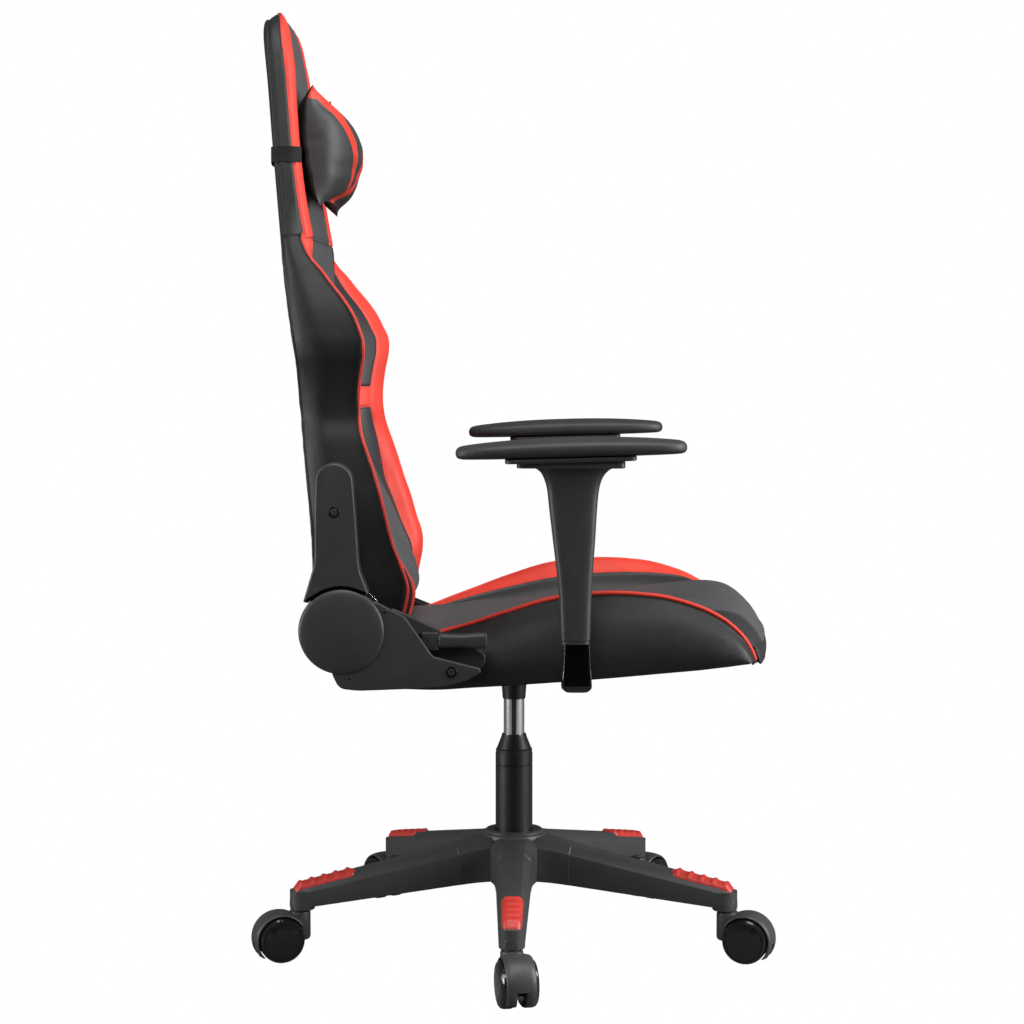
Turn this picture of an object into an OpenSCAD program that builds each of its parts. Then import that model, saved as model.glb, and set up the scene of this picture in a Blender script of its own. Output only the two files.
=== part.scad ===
// Gaming chair on a five-arm castor base.
// Frame: +Z up, origin on the floor under the gas column, the sitter faces -Y.
// "right" and "left" are the sitter's: right is -X, left is +X.

/* [Base] */
// Radius of the circle that the castor stems stand on
castor_circle_r = 297; // [285:1:305]
// Diameter of a castor wheel
wheel_d = 60; // [56:1:60]
// Distance from a castor's stem to its axle
castor_trail = 27; // [25:1:28]
// Width over both wheels of one castor
castor_w = 50; // [46:1:54]
// Outer radius of the hub
hub_r = 43; // [38:1:46]
// Height of the hub's top ring
hub_top_z = 156; // [152:1:160]

/* [Column] */
// Outer radius of the column tube
column_r = 25; // [24:0.5:27]
// Height of the top of the column tube
column_top_z = 260; // [250:1:262]
// Radius of the chrome gas cylinder
cylinder_r = 14; // [14:0.5:14]

/* [Seat] */
// Half the width of the seat over its bolsters
seat_half_w = 252; // [246:1:256]
// Half the width of the flat middle of the seat
seat_mid_half_w = 178; // [165:1:185]
// Front-up slope of the seat's underside, in degrees
seat_pitch = 3.9; // [3:0.1:4.5]
// Height of the underside of the seat frame over the column
frame_z = 400; // [398:1:402]

/* [Armrests] */
// Distance of each armrest post from the chair's centre plane
arm_x = 295; // [292:1:305]
// Height of the top of the armrest pads at their middle
arm_top_z = 699; // [690:1:720]
// Length of an armrest pad
pad_len = 282; // [260:1:300]
// Width of an armrest pad
pad_w = 82; // [70:1:90]

/* [Backrest] */
// Half the width of the back over its wings
wing_half_w = 255; // [248:1:256]
// Half the width of the flat middle of the back
back_mid_half_w = 165; // [150:1:170]
// Height of the top of the head section
back_top_z = 1245; // [1242:1:1250]

/* [Recline hinge] */
// Distance of the hinge axis behind the column
hinge_y = 209; // [207:1:211]
// Height of the hinge axis
hinge_z = 461; // [459:1:463]
// Radius of the hinge pin
pin_r = 8; // [7:0.5:9]
// Radius of the round hinge cover
disc_r = 53; // [50:1:54]

/* [Head pillow] */
// Length of the pillow across the chair
pillow_len = 288; // [260:1:300]
// Height of the strap's middle
strap_z = 1049; // [1045:1:1055]

/* [Hidden] */
$fn = 64;
arms = 5;
fit = 0.05;
wheel_r = wheel_d / 2;
wheel_in = 4;
wheel_out = castor_w / 2;
hood_half_w = 19;
hood_r = wheel_r + 4.2;
well_r = wheel_r + 1.3;
stem_r = 5.5;
axle_r = 3;
boss_z = 67;
boss_r = 16.5;
castor_turn = [13, 0, 0, 0, 0];
tube_bottom_z = 90;
tube_wall = 3;
rod_r = 5;
bore_r = 11;
cone_top_z = column_top_z + 26;
valve_r = 3;
plate_t = 4;
tube_r = 10;
rail_x = 225;
mid_top_front_z = 483;
pad_mid_y = -72;
pad_tilt = 1.6;
pad_t = 24;

plastic = "#3c3c3d";
steel = "#26262a";
chrome = "#c8cace";
leather = "#2d2d2e";
grey = "#4d4d4f";
red = "#e2493c";

// ---------- helpers ----------

// Puts children on one arm of the base, which is drawn pointing along +X
module on_arm(i) {
  rotate([0, 0, 180 + 360 / arms * i]) children();
}

// Draws a side-view outline, Y across and Z up, as a slab from x0 to x1
module slab(x0, x1) {
  translate([x0, 0, 0]) rotate([90, 0, 90]) linear_extrude(x1 - x0) children();
}

// Draws a front-view outline, X across and Z up, as a slab from y0 to y1
module front_slab(y0, y1) {
  translate([0, y1, 0]) rotate([90, 0, 0]) linear_extrude(y1 - y0) children();
}

// A cylinder along X through the point (y, z)
module rod_x(x0, x1, y, z, r) {
  translate([x0, y, z]) rotate([0, 90, 0]) cylinder(r = r, h = x1 - x0);
}

// A part made for the left side (+X), moved to the right side
module on_right() {
  mirror([1, 0, 0]) children();
}

// Both sides at once
module both_sides() {
  children();
  on_right() children();
}

// Tilts the seat's flat underside pieces, front up, about the column's axis
module pitched() {
  translate([0, 0, frame_z]) rotate([-seat_pitch, 0, 0]) translate([0, 0, -frame_z]) children();
}

// ---------- base ----------

function arm_top(r) = 148.5 - (r - 40) * 0.19;
function arm_bottom(r) = 92 - (r - 40) * 0.084;
function arm_half(r) = 24.5 - (r - 40) * 0.0315;

// One cross section of an arm at radius r, grown outwards by g
module arm_section(r, g = 0) {
  w = arm_half(r) + g;
  top = arm_top(r) + g;
  shoulder = top - 10;
  translate([r, 0, 0]) rotate([90, 0, 90]) linear_extrude(0.5)
    polygon([[-w, arm_bottom(r)], [w, arm_bottom(r)], [w, shoulder], [w * 0.55, top],
      [-w * 0.55, top], [-w, shoulder]]);
}

module arm_blank() {
  hull() {
    arm_section(30);
    arm_section(castor_circle_r - 3);
    translate([castor_circle_r, 0, boss_z + 4]) cylinder(r = boss_r, h = 19, $fn = 32);
  }
}

// Weight-saving pockets under an arm, with ribs left between them
module arm_pockets() {
  starts = [58, 112, 166, 218];
  wall = 5;
  for (a = starts) {
    b = a + 46;
    translate([0, 0, 50]) linear_extrude(arm_top(b) - 57)
      polygon([[a, wall - arm_half(a)], [b, wall - arm_half(b)], [b, arm_half(b) - wall],
        [a, arm_half(a) - wall]]);
  }
}

module star_base() {
  color(plastic) difference() {
    union() {
      rotate_extrude() polygon([[20, 90], [hub_r - 3, 90], [hub_r, 94], [hub_r, 150],
        [hub_r - 2, 152], [hub_r - 3, 152], [hub_r - 4, hub_top_z], [20, hub_top_z]]);
      for (i = [0:arms - 1]) on_arm(i) {
        arm_blank();
        translate([castor_circle_r, 0, boss_z]) cylinder(r = boss_r, h = 20);
      }
    }
    translate([0, 0, 50]) cylinder(r = column_r + fit, h = 150);
    for (i = [0:arms - 1]) on_arm(i) {
      arm_pockets();
      translate([castor_circle_r, 0, boss_z - 5]) cylinder(r = stem_r + fit, h = 31);
    }
  }
}

// One ribbed grip, wrapped over the top of an arm near its end
module foot_grip() {
  r0 = 222;
  r1 = 300;
  ridges = 5;
  difference() {
    union() {
      hull() {
        arm_section(r0, 2);
        arm_section(r1, 2);
      }
      for (k = [0:ridges - 1]) {
        r = r0 + 9 + k * 15.5;
        translate([r, 0, arm_top(r) + 1.4]) rotate([90, 0, 0])
          cylinder(r = 2.6, h = 17, center = true, $fn = 16);
      }
    }
    arm_blank();
    translate([r0 - 5, -40, 40]) rotate([0, 10.8, 0]) translate([-10, 0, 0]) cube([130, 80, 65]);
  }
}

module foot_grips() {
  color(red) for (i = [0:arms - 1]) on_arm(i) foot_grip();
}

// ---------- column ----------

module column_tube() {
  groove_z = 244;
  inner_r = column_r - tube_wall;
  color(steel) rotate_extrude() polygon([[rod_r + fit, tube_bottom_z], [column_r - 1, tube_bottom_z],
    [column_r, tube_bottom_z + 1], [column_r, groove_z], [column_r - 0.6, groove_z + 0.6],
    [column_r - 0.6, groove_z + 1.4], [column_r, groove_z + 2], [column_r, column_top_z],
    [inner_r, column_top_z], [inner_r, tube_bottom_z + 4], [rod_r + fit, tube_bottom_z + 4]]);
}

module guide_bush() {
  color(steel) rotate_extrude() polygon([[cylinder_r + fit, 200], [column_r - tube_wall - fit, 200],
    [column_r - tube_wall - fit, column_top_z], [column_r - 0.5, column_top_z],
    [column_r - 0.5, column_top_z + 5], [column_r - 2, column_top_z + 7],
    [cylinder_r + 3.2, cone_top_z - 4], [cylinder_r + 2, cone_top_z], [cylinder_r + fit, cone_top_z]]);
}

module thrust_bearing() {
  ball_r = 2;
  z = tube_bottom_z + 4;
  color(chrome) {
    for (race = [z, z + 6]) translate([0, 0, race]) difference() {
      cylinder(r = 13, h = 2);
      translate([0, 0, -1]) cylinder(r = rod_r + fit, h = 4);
    }
    for (a = [0:45:315]) rotate([0, 0, a]) translate([9.5, 0, z + 4]) sphere(r = ball_r, $fn = 24);
  }
}

module piston_rod() {
  collar_z = tube_bottom_z + 12.2;
  end_z = tube_bottom_z - 8;
  groove_z = tube_bottom_z - 4.5;
  color(chrome) rotate_extrude() polygon([[0, end_z], [rod_r - 1, end_z], [rod_r, end_z + 1],
    [rod_r, groove_z], [rod_r - 1, groove_z], [rod_r - 1, groove_z + 2], [rod_r, groove_z + 2],
    [rod_r, collar_z], [9, collar_z],
    [9, collar_z + 5], [rod_r, collar_z + 5], [rod_r, 258], [bore_r - fit, 258],
    [bore_r - fit, 270], [0, 270]]);
}

module rod_clip() {
  color(chrome) translate([0, 0, tube_bottom_z - 4.4]) difference() {
    cylinder(r = 9, h = 1.8);
    translate([0, 0, -1]) cylinder(r = rod_r - 1, h = 4);
    translate([0, -2, -1]) cube([12, 4, 4]);
  }
}

module gas_cylinder() {
  color(chrome) difference() {
    rotate_extrude() polygon([[rod_r + fit, 137], [cylinder_r - 1, 137], [cylinder_r, 138],
      [cylinder_r, 360], [cylinder_r - 1, 371], [valve_r + fit, 371], [valve_r + fit, 348], [0, 348],
      [0, 318], [bore_r, 318], [bore_r, 145], [rod_r + fit, 145]]);
  }
}

module valve_pin() {
  color(chrome) {
    translate([0, 0, 353]) cylinder(r = valve_r, h = 22);
    translate([0, 0, 375]) cylinder(r = valve_r + 1.2, h = 4);
  }
}

// ---------- castors ----------

// Moves a castor, drawn with its stem on the Z axis and its axle out along +X, to arm i
module at_castor(i) {
  on_arm(i) translate([castor_circle_r, 0, 0]) rotate([0, 0, castor_turn[i]]) children();
}

// Turns a shape drawn about the Z axis onto the castor's axle
module on_axle() {
  translate([castor_trail, 0, wheel_r]) rotate([-90, 0, 0]) children();
}

module hood_body() {
  barrel_r = hood_r - 2.4;
  color(plastic) difference() {
    union() {
      intersection() {
        on_axle() rotate_extrude() polygon([[0, -hood_half_w], [barrel_r, -hood_half_w],
          [hood_r, 6 - hood_half_w], [hood_r, hood_half_w - 6], [barrel_r, hood_half_w],
          [0, hood_half_w]]);
        rotate([90, 0, 0]) translate([0, 0, -30]) linear_extrude(60)
          polygon([[-10, 34], [castor_trail - 8, 13], [castor_trail + 8, 13],
            [castor_trail + 21, 6], [castor_trail + 45, 6], [castor_trail + 45, 70],
            [-10, 70]]);
      }
      translate([0, 0, 27]) cylinder(r = 14.5, h = 38);
      translate([0, 0, 65]) cylinder(r = 11, h = 1.2);
    }
    for (s = [-1, 1]) on_axle() translate([0, 0, s * (3.6 + 25)])
      cylinder(r = well_r, h = 50, center = true);
    on_axle() cylinder(r = axle_r, h = 60, center = true);
    translate([0, 0, 53]) cylinder(r = stem_r, h = 20);
  }
}

module castor_pins() {
  color(chrome) {
    on_axle() cylinder(r = axle_r, h = 2 * 20.5, center = true);
    translate([0, 0, 53]) cylinder(r = stem_r, h = 39);
  }
}

module wheel_body() {
  r = wheel_r;
  w = wheel_out;
  color("#161617") on_axle() rotate_extrude() polygon([[axle_r + fit, wheel_in], [r - 4, wheel_in],
    [r - 1, wheel_in + 2.5], [r, wheel_in + 5], [r, w - 7.5], [r - 1, w - 4], [r - 3, w - 2.2],
    [r - 4.4, w - 2.2], [r - 4.8, w - 3], [r - 5.8, w - 3], [r - 6.2, w - 1.6], [r - 14, w - 0.5],
    [0, w], [0, w - 4], [axle_r + fit, w - 4]]);
}

module castor_hood(i) {
  at_castor(i) hood_body();
}

module castor_axle_and_stem(i) {
  at_castor(i) castor_pins();
}

module castor_wheel(i, side) {
  at_castor(i) mirror([0, side, 0]) wheel_body();
}

// ---------- mechanism under the seat ----------

module seat_plate() {
  ear_x = 34;
  color(steel) difference() {
    union() {
      pitched() translate([-90, -120, frame_z - plate_t]) cube([180, 240, plate_t]);
      translate([0, 0, 334]) cylinder(r1 = 15.4, r2 = 20, h = 62);
      pitched() for (s = [-1, 1]) translate([s * 66 - 2, -95, frame_z - 25]) cube([4, 190, 22]);
      for (s = [-1, 1]) translate([ear_x - 5, s * 10 - 2, 376]) cube([10, 4, 22]);
    }
    translate([0, 0, 330]) cylinder(r = cylinder_r, h = 42);
    translate([0, 0, 371]) cylinder(r = 12, h = 24);
    translate([-14, -7.2, 374]) cube([80, 14.4, 17.5]);
    translate([60, -9, 360]) cube([12, 18, 32]);
    translate([ear_x, -20, 384]) rotate([-90, 0, 0]) cylinder(r = 3 + fit, h = 40);
  }
}

// The lever rocks on a pin: its outer end goes up, and its inner end presses the valve
module height_lever() {
  ear_x = 34;
  slope = 5.5;
  color(steel) translate([ear_x, 0, 384]) {
    rotate([90, 0, 0]) cylinder(r = 3, h = 23, center = true);
    translate([-40, -6, -4.6]) cube([46, 12, 6]);
    rotate([0, 90 + slope, 0]) cylinder(r = 4, h = 190);
    rotate([0, slope, 0]) translate([180, -15, -4.5]) cube([36, 30, 9]);
  }
}

module seat_frame() {
  z = frame_z + tube_r;
  front_y = -262;
  rear_y = 178;
  color(steel) pitched() {
    for (s = [-1, 1]) translate([s * rail_x, front_y - 12, z]) rotate([-90, 0, 0])
      cylinder(r = tube_r, h = rear_y - front_y + 24);
    for (y = [front_y, rear_y]) translate([-rail_x, y, z]) rotate([0, 90, 0])
      cylinder(r = tube_r - 1, h = 2 * rail_x);
    for (y = [-95, 95]) translate([-rail_x, y - 15, frame_z]) cube([2 * rail_x, 30, 5]);
  }
}

module seat_webbing() {
  color("#202022") pitched() for (y = [-210, -130, -50, 30, 110]) translate([-220, y - 25, frame_z + 20.2])
    cube([440, 50, 1.6]);
}

module seat_bottom_cover() {
  color("#1c1c1e") pitched() difference() {
    translate([-234, -272, frame_z - 5]) cube([468, 456, 1.4]);
    translate([-92, -122, frame_z - 10]) cube([184, 244, 20]);
    for (s = [-1, 1]) translate([s * 194 - 48, -102, frame_z - 10]) cube([96, 44, 20]);
  }
}

// ---------- seat cushions ----------

seat_mid_profile = [
  [186, 430], [183, 446], [150, 452], [90, 451], [0, 458], [-100, 468], [-183, 477], [-235, mid_top_front_z],
  [-283, mid_top_front_z - 1], [-305, 473], [-318, 459], [-328, 442], [-331, 428], [-328, 417], [-318, 416],
  [-283, 445], [-250, 443]
];

module seat_cushion() {
  color(grey) slab(-seat_mid_half_w, seat_mid_half_w) polygon(seat_mid_profile);
}

seat_side_profile = [
  [200, 381], [205, 390], [170, 425], [130, 433], [90, 448], [34, 470], [-22, 487], [-60, 494], [-110, 499],
  [-155, 499], [-190, 495], [-227, 486], [-258, 472], [-283, 454], [-300, 432], [-306, 418], [-302, 414],
  [-120, 402], [0, 394]
];

module seat_bolster() {
  skin = 14;
  color(leather) difference() {
    slab(seat_mid_half_w + 0.5, seat_half_w) polygon(seat_side_profile);
    pitched() translate([0, -278, frame_z - 30]) cube([seat_half_w - skin, 470, 52.4]);
  }
}

module seat_bolsters() {
  both_sides() seat_bolster();
}

// ---------- armrests ----------

module arm_bracket() {
  y = -80;
  foot_z = 384;
  color("#101012") intersection() {
    front_slab(y - 22, y + 22) polygon([[150, 394], [226, 394], [234, foot_z], [arm_x - 6, foot_z],
      [arm_x + 1, foot_z + 2], [arm_x + 4, foot_z + 9], [arm_x + 4, 486], [arm_x - 2, 486],
      [arm_x - 2, foot_z + 13], [arm_x - 6, foot_z + 7], [238, foot_z + 7], [230, 400], [150, 400]]);
    slab(0, 400) polygon([[y - 15, 500], [y - 15.5, 450], [y - 19, 396], [y - 16, 388], [y - 9, foot_z],
      [y + 9, foot_z], [y + 16, 388], [y + 19, 396], [y + 15.5, 450], [y + 15, 500]]);
  }
}

module arm_post() {
  color(plastic) difference() {
    intersection() {
      slab(arm_x - 30, arm_x + 30) polygon([[-60, 450], [-96, 450], [-98, 513], [-102, 574], [-105.5, 630],
        [-109, 650], [-114, 660], [-120, 663], [-30, 663], [-36, 660], [-41, 650], [-44, 630], [-50, 574],
        [-56.5, 513]]);
      front_slab(-140, 0) polygon([[arm_x - 13, 450], [arm_x + 13, 450], [arm_x + 15, 600],
        [arm_x + 19, 663], [arm_x - 19, 663], [arm_x - 15, 600]]);
    }
    translate([arm_x - 3, -96.2, 440]) cube([8, 32.4, 47]);
  }
}

module arm_plate_pair() {
  color(plastic) {
    translate([arm_x - 27, -138, 663]) cube([54, 132, 7.5]);
    slab(arm_x - 32, arm_x + 32) translate([pad_mid_y, arm_top_z]) rotate(-pad_tilt)
      polygon([[-79, -pad_t - 4.5], [81, -pad_t - 4.5], [81, -pad_t], [-79, -pad_t]]);
  }
}

module arm_plates() {
  both_sides() arm_plate_pair();
}

module arm_pad() {
  end_y = pad_len / 2;
  color("#2c2c2d") intersection() {
    slab(arm_x - 50, arm_x + 50) translate([pad_mid_y, arm_top_z]) rotate(-pad_tilt)
      polygon([[-end_y, -17], [3 - end_y, -22], [-90, -pad_t], [90, -pad_t], [end_y - 3, -22], [end_y, -17],
        [end_y - 1, -12], [end_y - 10, -7.5], [90, -3], [40, -0.5], [0, 0], [-40, -0.5], [-90, -3],
        [10 - end_y, -7.5], [1 - end_y, -12]]);
    translate([arm_x, pad_mid_y, 600]) hull()
      for (s = [-1, 1]) translate([0, s * (pad_len / 2 - pad_w / 2), 0])
        cylinder(r = pad_w / 2, h = 200, $fn = 48);
  }
}

// ---------- recline hinge ----------

// The right bracket reaches up behind the lever's wall, and the left one stays low
module hinge_bracket(top_line) {
  color(steel) difference() {
    union() {
      rod_x(262, 266, hinge_y, hinge_z, 42);
      slab(262, 266) polygon(concat(top_line, [[52, 410], [60, 402], [hinge_y - 1, 402],
        [hinge_y + 40, hinge_z - 10]]));
    }
    rod_x(255, 270, hinge_y, hinge_z, pin_r);
  }
}

module hinge_bracket_right() {
  on_right() hinge_bracket([[hinge_y - 10, hinge_z + 40], [60, 426]]);
}

module hinge_bracket_left() {
  hinge_bracket([[171, 441], [125, 425], [60, 414]]);
}

module recline_pin() {
  color(chrome) {
    rod_x(258, 283, hinge_y, hinge_z, pin_r);
    rod_x(255, 258, hinge_y, hinge_z, pin_r + 4);
  }
}

module recline_pins() {
  both_sides() recline_pin();
}

// Flat spiral spring around the hinge pin
module recline_spring() {
  turns = 2.5;
  step = 15;
  pitch = 6;
  band = 2;
  function spiral(r) = [for (a = [0:step:360 * turns]) let(q = r + pitch * a / 360) [q * cos(a), q * sin(a)]];
  inner = spiral(pin_r + 1);
  outer = spiral(pin_r + 1 + band);
  count = len(inner);
  color(steel) slab(272.5, 277.5) translate([hinge_y, hinge_z])
    polygon(concat(inner, [for (k = [count - 1:-1:0]) outer[k]]));
}

module recline_springs() {
  both_sides() recline_spring();
}

module disc_cover() {
  color(plastic) translate([0, hinge_y, hinge_z]) rotate([0, 90, 0]) difference() {
    rotate_extrude() polygon([[0, 284], [disc_r, 284], [disc_r, 296], [disc_r - 1, 298.5], [disc_r - 4, 300],
      [disc_r * 0.7, 301.5], [disc_r * 0.35, 302.6], [0, 303]]);
    translate([0, 0, 283]) cylinder(r = disc_r - 3, h = 12);
  }
}

// Outline of the moulded cover under and in front of the hinge disc
module lower_outline(top_line) {
  polygon(concat([[39, 410], [52, 402], [74, 395], [101, 391], [187, 388], [208, 390], [219, 404], [225, 430]],
    top_line));
}

// Outline of the inner wall, which stands up behind the lever on the right
module inner_outline(top_line) {
  polygon(concat([[39, 410], [52, 402], [74, 395], [101, 391], [150, 389.5]], top_line));
}

module lower_cover(skin_top, wall_top) {
  inner_x = 268;
  skin_x = 293;
  color(plastic) difference() {
    union() {
      slab(skin_x, skin_x + 3) lower_outline(skin_top);
      slab(inner_x, inner_x + 3) inner_outline(wall_top);
      slab(inner_x, skin_x + 3) polygon([[39, 410], [52, 402], [74, 395], [101, 391], [187, 388], [208, 390],
        [208, 394], [187, 392], [102, 395], [76, 399], [54, 406], [42, 414]]);
    }
    rod_x(250, 310, hinge_y, hinge_z, disc_r + 0.6);
  }
}

module lower_cover_right() {
  on_right() lower_cover([[200, 500], [165, 497], [131, 478], [113, 453], [97, 430], [60, 421], [40, 416]],
    [[150, 489], [131, 480], [87, 459], [86, 441], [49, 438], [36, 432], [33, 421]]);
}

module lower_cover_left() {
  low_top = [[165, 446], [147, 437], [125, 428], [97, 422], [60, 419], [40, 416]];
  lower_cover(concat([[190, 458]], low_top), concat([[150, 438]], [for (k = [2:5]) low_top[k]]));
}

module recline_lever() {
  x = 279.5;
  color(plastic) difference() {
    union() {
      rod_x(x, 283, hinge_y, hinge_z, 16);
      slab(x, 283) polygon([[hinge_y, hinge_z + 14], [112, 458], [112, 440], [hinge_y, hinge_z - 14]]);
      slab(278, 291) polygon([[112, 459], [90, 459], [90, 437], [112, 437]]);
      slab(276.5, 292) polygon([[90, 457], [72, 458], [50, 456.5], [33, 457.5], [30, 455],
        [30, 441], [33, 438.5], [50, 439.5], [72, 438], [90, 439]]);
    }
    rod_x(270, 290, hinge_y, hinge_z, pin_r + fit);
  }
}

// ---------- backrest ----------

module back_frame() {
  tilt = 6.2;
  upright_x = 150;
  bottom_z = 500;
  bottom_y = 222;
  length = 588;
  top_y = bottom_y + length * sin(tilt);
  top_z = bottom_z + length * cos(tilt);
  color(steel) {
    for (s = [-1, 1]) translate([s * upright_x, bottom_y - 1.3, bottom_z - 12]) rotate([-tilt, 0, 0])
      cylinder(r = 8, h = length + 24);
    rod_x(-upright_x, upright_x, bottom_y, bottom_z, 7);
    rod_x(-upright_x, upright_x, top_y, top_z, 7);
    both_sides() difference() {
      union() {
        rod_x(267, 271, hinge_y, hinge_z, 36);
        slab(267, 271) polygon([[hinge_y - 34, hinge_z + 12], [202, 560], [206, 636], [214, 646], [230, 642],
          [236, 620], [236, 560], [hinge_y + 34, hinge_z + 12]]);
        rod_x(upright_x, 268, 228, 560, 6);
        rod_x(upright_x, 268, 229, 620, 6);
      }
      rod_x(260, 280, hinge_y, hinge_z, pin_r + fit);
    }
  }
}

module upper_outline() {
  difference() {
    polygon([[242, 623], [238, 647], [231, 659], [223, 664], [212, 665], [203, 659], [197, 648], [193, 620],
      [190, 590], [188, 550], [184, 530], [174, 508], [209, 480], [256, 497], [246, 520], [242, 542],
      [240, 575]]);
    translate([hinge_y, hinge_z]) circle(r = disc_r + 4);
  }
}

module upper_cover() {
  color(plastic) difference() {
    slab(271.6, 298) upper_outline();
    slab(270, 295) intersection() {
      polygon([[238, 620], [234, 645], [226, 658], [211, 660], [204, 654], [200, 640], [194, 590], [191, 550],
        [186, 528], [180, 508], [209, 470], [250, 495], [242, 520], [238, 542], [236, 575]]);
      translate([0, 300]) square([400, 400]);
    }
  }
}

module back_side_outline() {
  polygon([[255, 470], [262, 565], [276, 677], [298, 869], [310, 1080], [319, 1225], [312, 1240],
    [302, back_top_z], [292, 1242], [285, 1230], [279.5, 1180], [277, 1120], [274, 1083], [269, 1032],
    [261, 985], [252, 930], [242, 850], [228, 760], [212, 700], [189, 640], [168, 591], [148, 541],
    [135, 509], [132, 486], [137, 473], [146, 470]]);
}

module back_cushion() {
  color(grey) intersection() {
    slab(-260, 260) back_side_outline();
    front_slab(150, 360) polygon(concat(
      [for (p = [[back_mid_half_w, 470], [back_mid_half_w, 948], [209, 949], [196, 1020], [183, 1080],
        [166, 1172], [152, 1200], [132, 1222], [100, 1236], [50, 1243], [0, back_top_z]]) p],
      [for (p = [[-50, 1243], [-100, 1236], [-132, 1222], [-152, 1200], [-166, 1172], [-183, 1080],
        [-196, 1020], [-209, 949], [-back_mid_half_w, 948], [-back_mid_half_w, 470]]) p]));
  }
}

module back_bolster() {
  color(leather) intersection() {
    slab(back_mid_half_w + 0.5, wing_half_w) polygon([[245, 470], [256, 565], [270, 677], [292, 869],
      [300, 947], [262, 947], [236, 903], [208, 862], [190, 830], [183, 805], [187, 780],
      [192, 757], [194, 725], [190, 688], [178, 655], [160, 612], [145, 575], [137, 549], [134.5, 520],
      [136, 500], [141, 478], [150, 470]]);
    front_slab(100, 360) polygon([[100, 460], [240, 460], [242, 540], [240, 640], [231, 700], [230, 740],
      [238, 770], [252, 795], [wing_half_w, 812], [250, 860], [232, 915], [208, 948], [100, 948]]);
  }
}

module back_bolsters() {
  both_sides() back_bolster();
}

// ---------- head pillow ----------

module head_pillow() {
  color(grey) intersection() {
    slab(-pillow_len / 2, pillow_len / 2) polygon([[253, 1144], [262, 1132], [267.5, 1110], [268.5, 1083],
      [264, 1040], [257.5, 1005], [250, 986], [244, 984], [228, 996], [212, 1016], [204, 1040], [204, 1060],
      [208, 1080], [218, 1106], [234, 1130], [246, 1143]]);
    front_slab(150, 300) polygon([[-144, 1000], [-138, 984], [-100, 980], [100, 980], [138, 984], [144, 1000],
      [144, 1130], [138, 1145], [-138, 1145], [-144, 1130]]);
  }
}

module head_strap() {
  inner = 192.8;
  t = 1.4;
  rear_y = 311.5;
  front_y = 266;
  end_x = pillow_len / 2 + 1;
  color("#141416") translate([0, 0, strap_z - 10]) linear_extrude(20) polygon([[-end_x, front_y - t],
    [-inner - t, front_y - t], [-inner - t, rear_y - 2], [2 - inner, rear_y + t], [inner - 2, rear_y + t],
    [inner + t, rear_y - 2], [inner + t, front_y - t], [end_x, front_y - t], [end_x, front_y],
    [inner, front_y], [inner, rear_y - 2], [inner - 2, rear_y], [2 - inner, rear_y], [-inner, rear_y - 2],
    [-inner, front_y], [-end_x, front_y]]);
}

// ---------- fasteners ----------

module bolt_up(x, y, z, l) {
  translate([x, y, z]) cylinder(r = 3, h = l);
  translate([x, y, z - 4]) cylinder(r = 5.5, h = 4, $fn = 6);
}

module fasteners() {
  color(steel) {
    pitched() for (x = [-70, 70], y = [-95, 95]) bolt_up(x, y, frame_z - plate_t, 12);
    both_sides() for (x = [165, 195]) bolt_up(x, -80, 394, 20);
    both_sides() for (p = [[80, 413], [120, 410], [160, 407]]) {
      rod_x(rail_x, 268, p[0], p[1], 4);
      rod_x(266, 267.6, p[0], p[1], 7);
    }
  }
}

// ---------- nodes ----------

star_base();
foot_grips();
column_tube();
guide_bush();
thrust_bearing();
piston_rod();
rod_clip();
castor_hood(0);  // castor_1_hood
castor_axle_and_stem(0);  // castor_1_pins
castor_wheel(0, 0);  // castor_1_wheel_a
castor_wheel(0, 1);  // castor_1_wheel_b
castor_hood(1);  // castor_2_hood
castor_axle_and_stem(1);  // castor_2_pins
castor_wheel(1, 0);  // castor_2_wheel_a
castor_wheel(1, 1);  // castor_2_wheel_b
castor_hood(2);  // castor_3_hood
castor_axle_and_stem(2);  // castor_3_pins
castor_wheel(2, 0);  // castor_3_wheel_a
castor_wheel(2, 1);  // castor_3_wheel_b
castor_hood(3);  // castor_4_hood
castor_axle_and_stem(3);  // castor_4_pins
castor_wheel(3, 0);  // castor_4_wheel_a
castor_wheel(3, 1);  // castor_4_wheel_b
castor_hood(4);  // castor_5_hood
castor_axle_and_stem(4);  // castor_5_pins
castor_wheel(4, 0);  // castor_5_wheel_a
castor_wheel(4, 1);  // castor_5_wheel_b
gas_cylinder();
valve_pin();
height_lever();
seat_plate();
fasteners();
seat_frame();
seat_webbing();
seat_cushion();
seat_bolsters();
seat_bottom_cover();
on_right() arm_bracket();  // arm_bracket_right
arm_bracket();  // arm_bracket_left
on_right() arm_post();  // arm_post_right
arm_post();  // arm_post_left
arm_plates();
on_right() arm_pad();  // arm_pad_right
arm_pad();  // arm_pad_left
hinge_bracket_right();
hinge_bracket_left();
on_right() disc_cover();  // disc_cover_right
disc_cover();  // disc_cover_left
lower_cover_right();
lower_cover_left();
recline_pins();
recline_springs();
recline_lever();
back_frame();
on_right() upper_cover();  // upper_cover_right
upper_cover();  // upper_cover_left
back_cushion();
back_bolsters();
head_pillow();
head_strap();
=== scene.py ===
"""A gaming chair's looks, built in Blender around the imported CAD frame. Units are metres, as in the frame."""
import math

import bmesh
import bpy
import numpy as np
from mathutils import Matrix, Vector, noise


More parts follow.
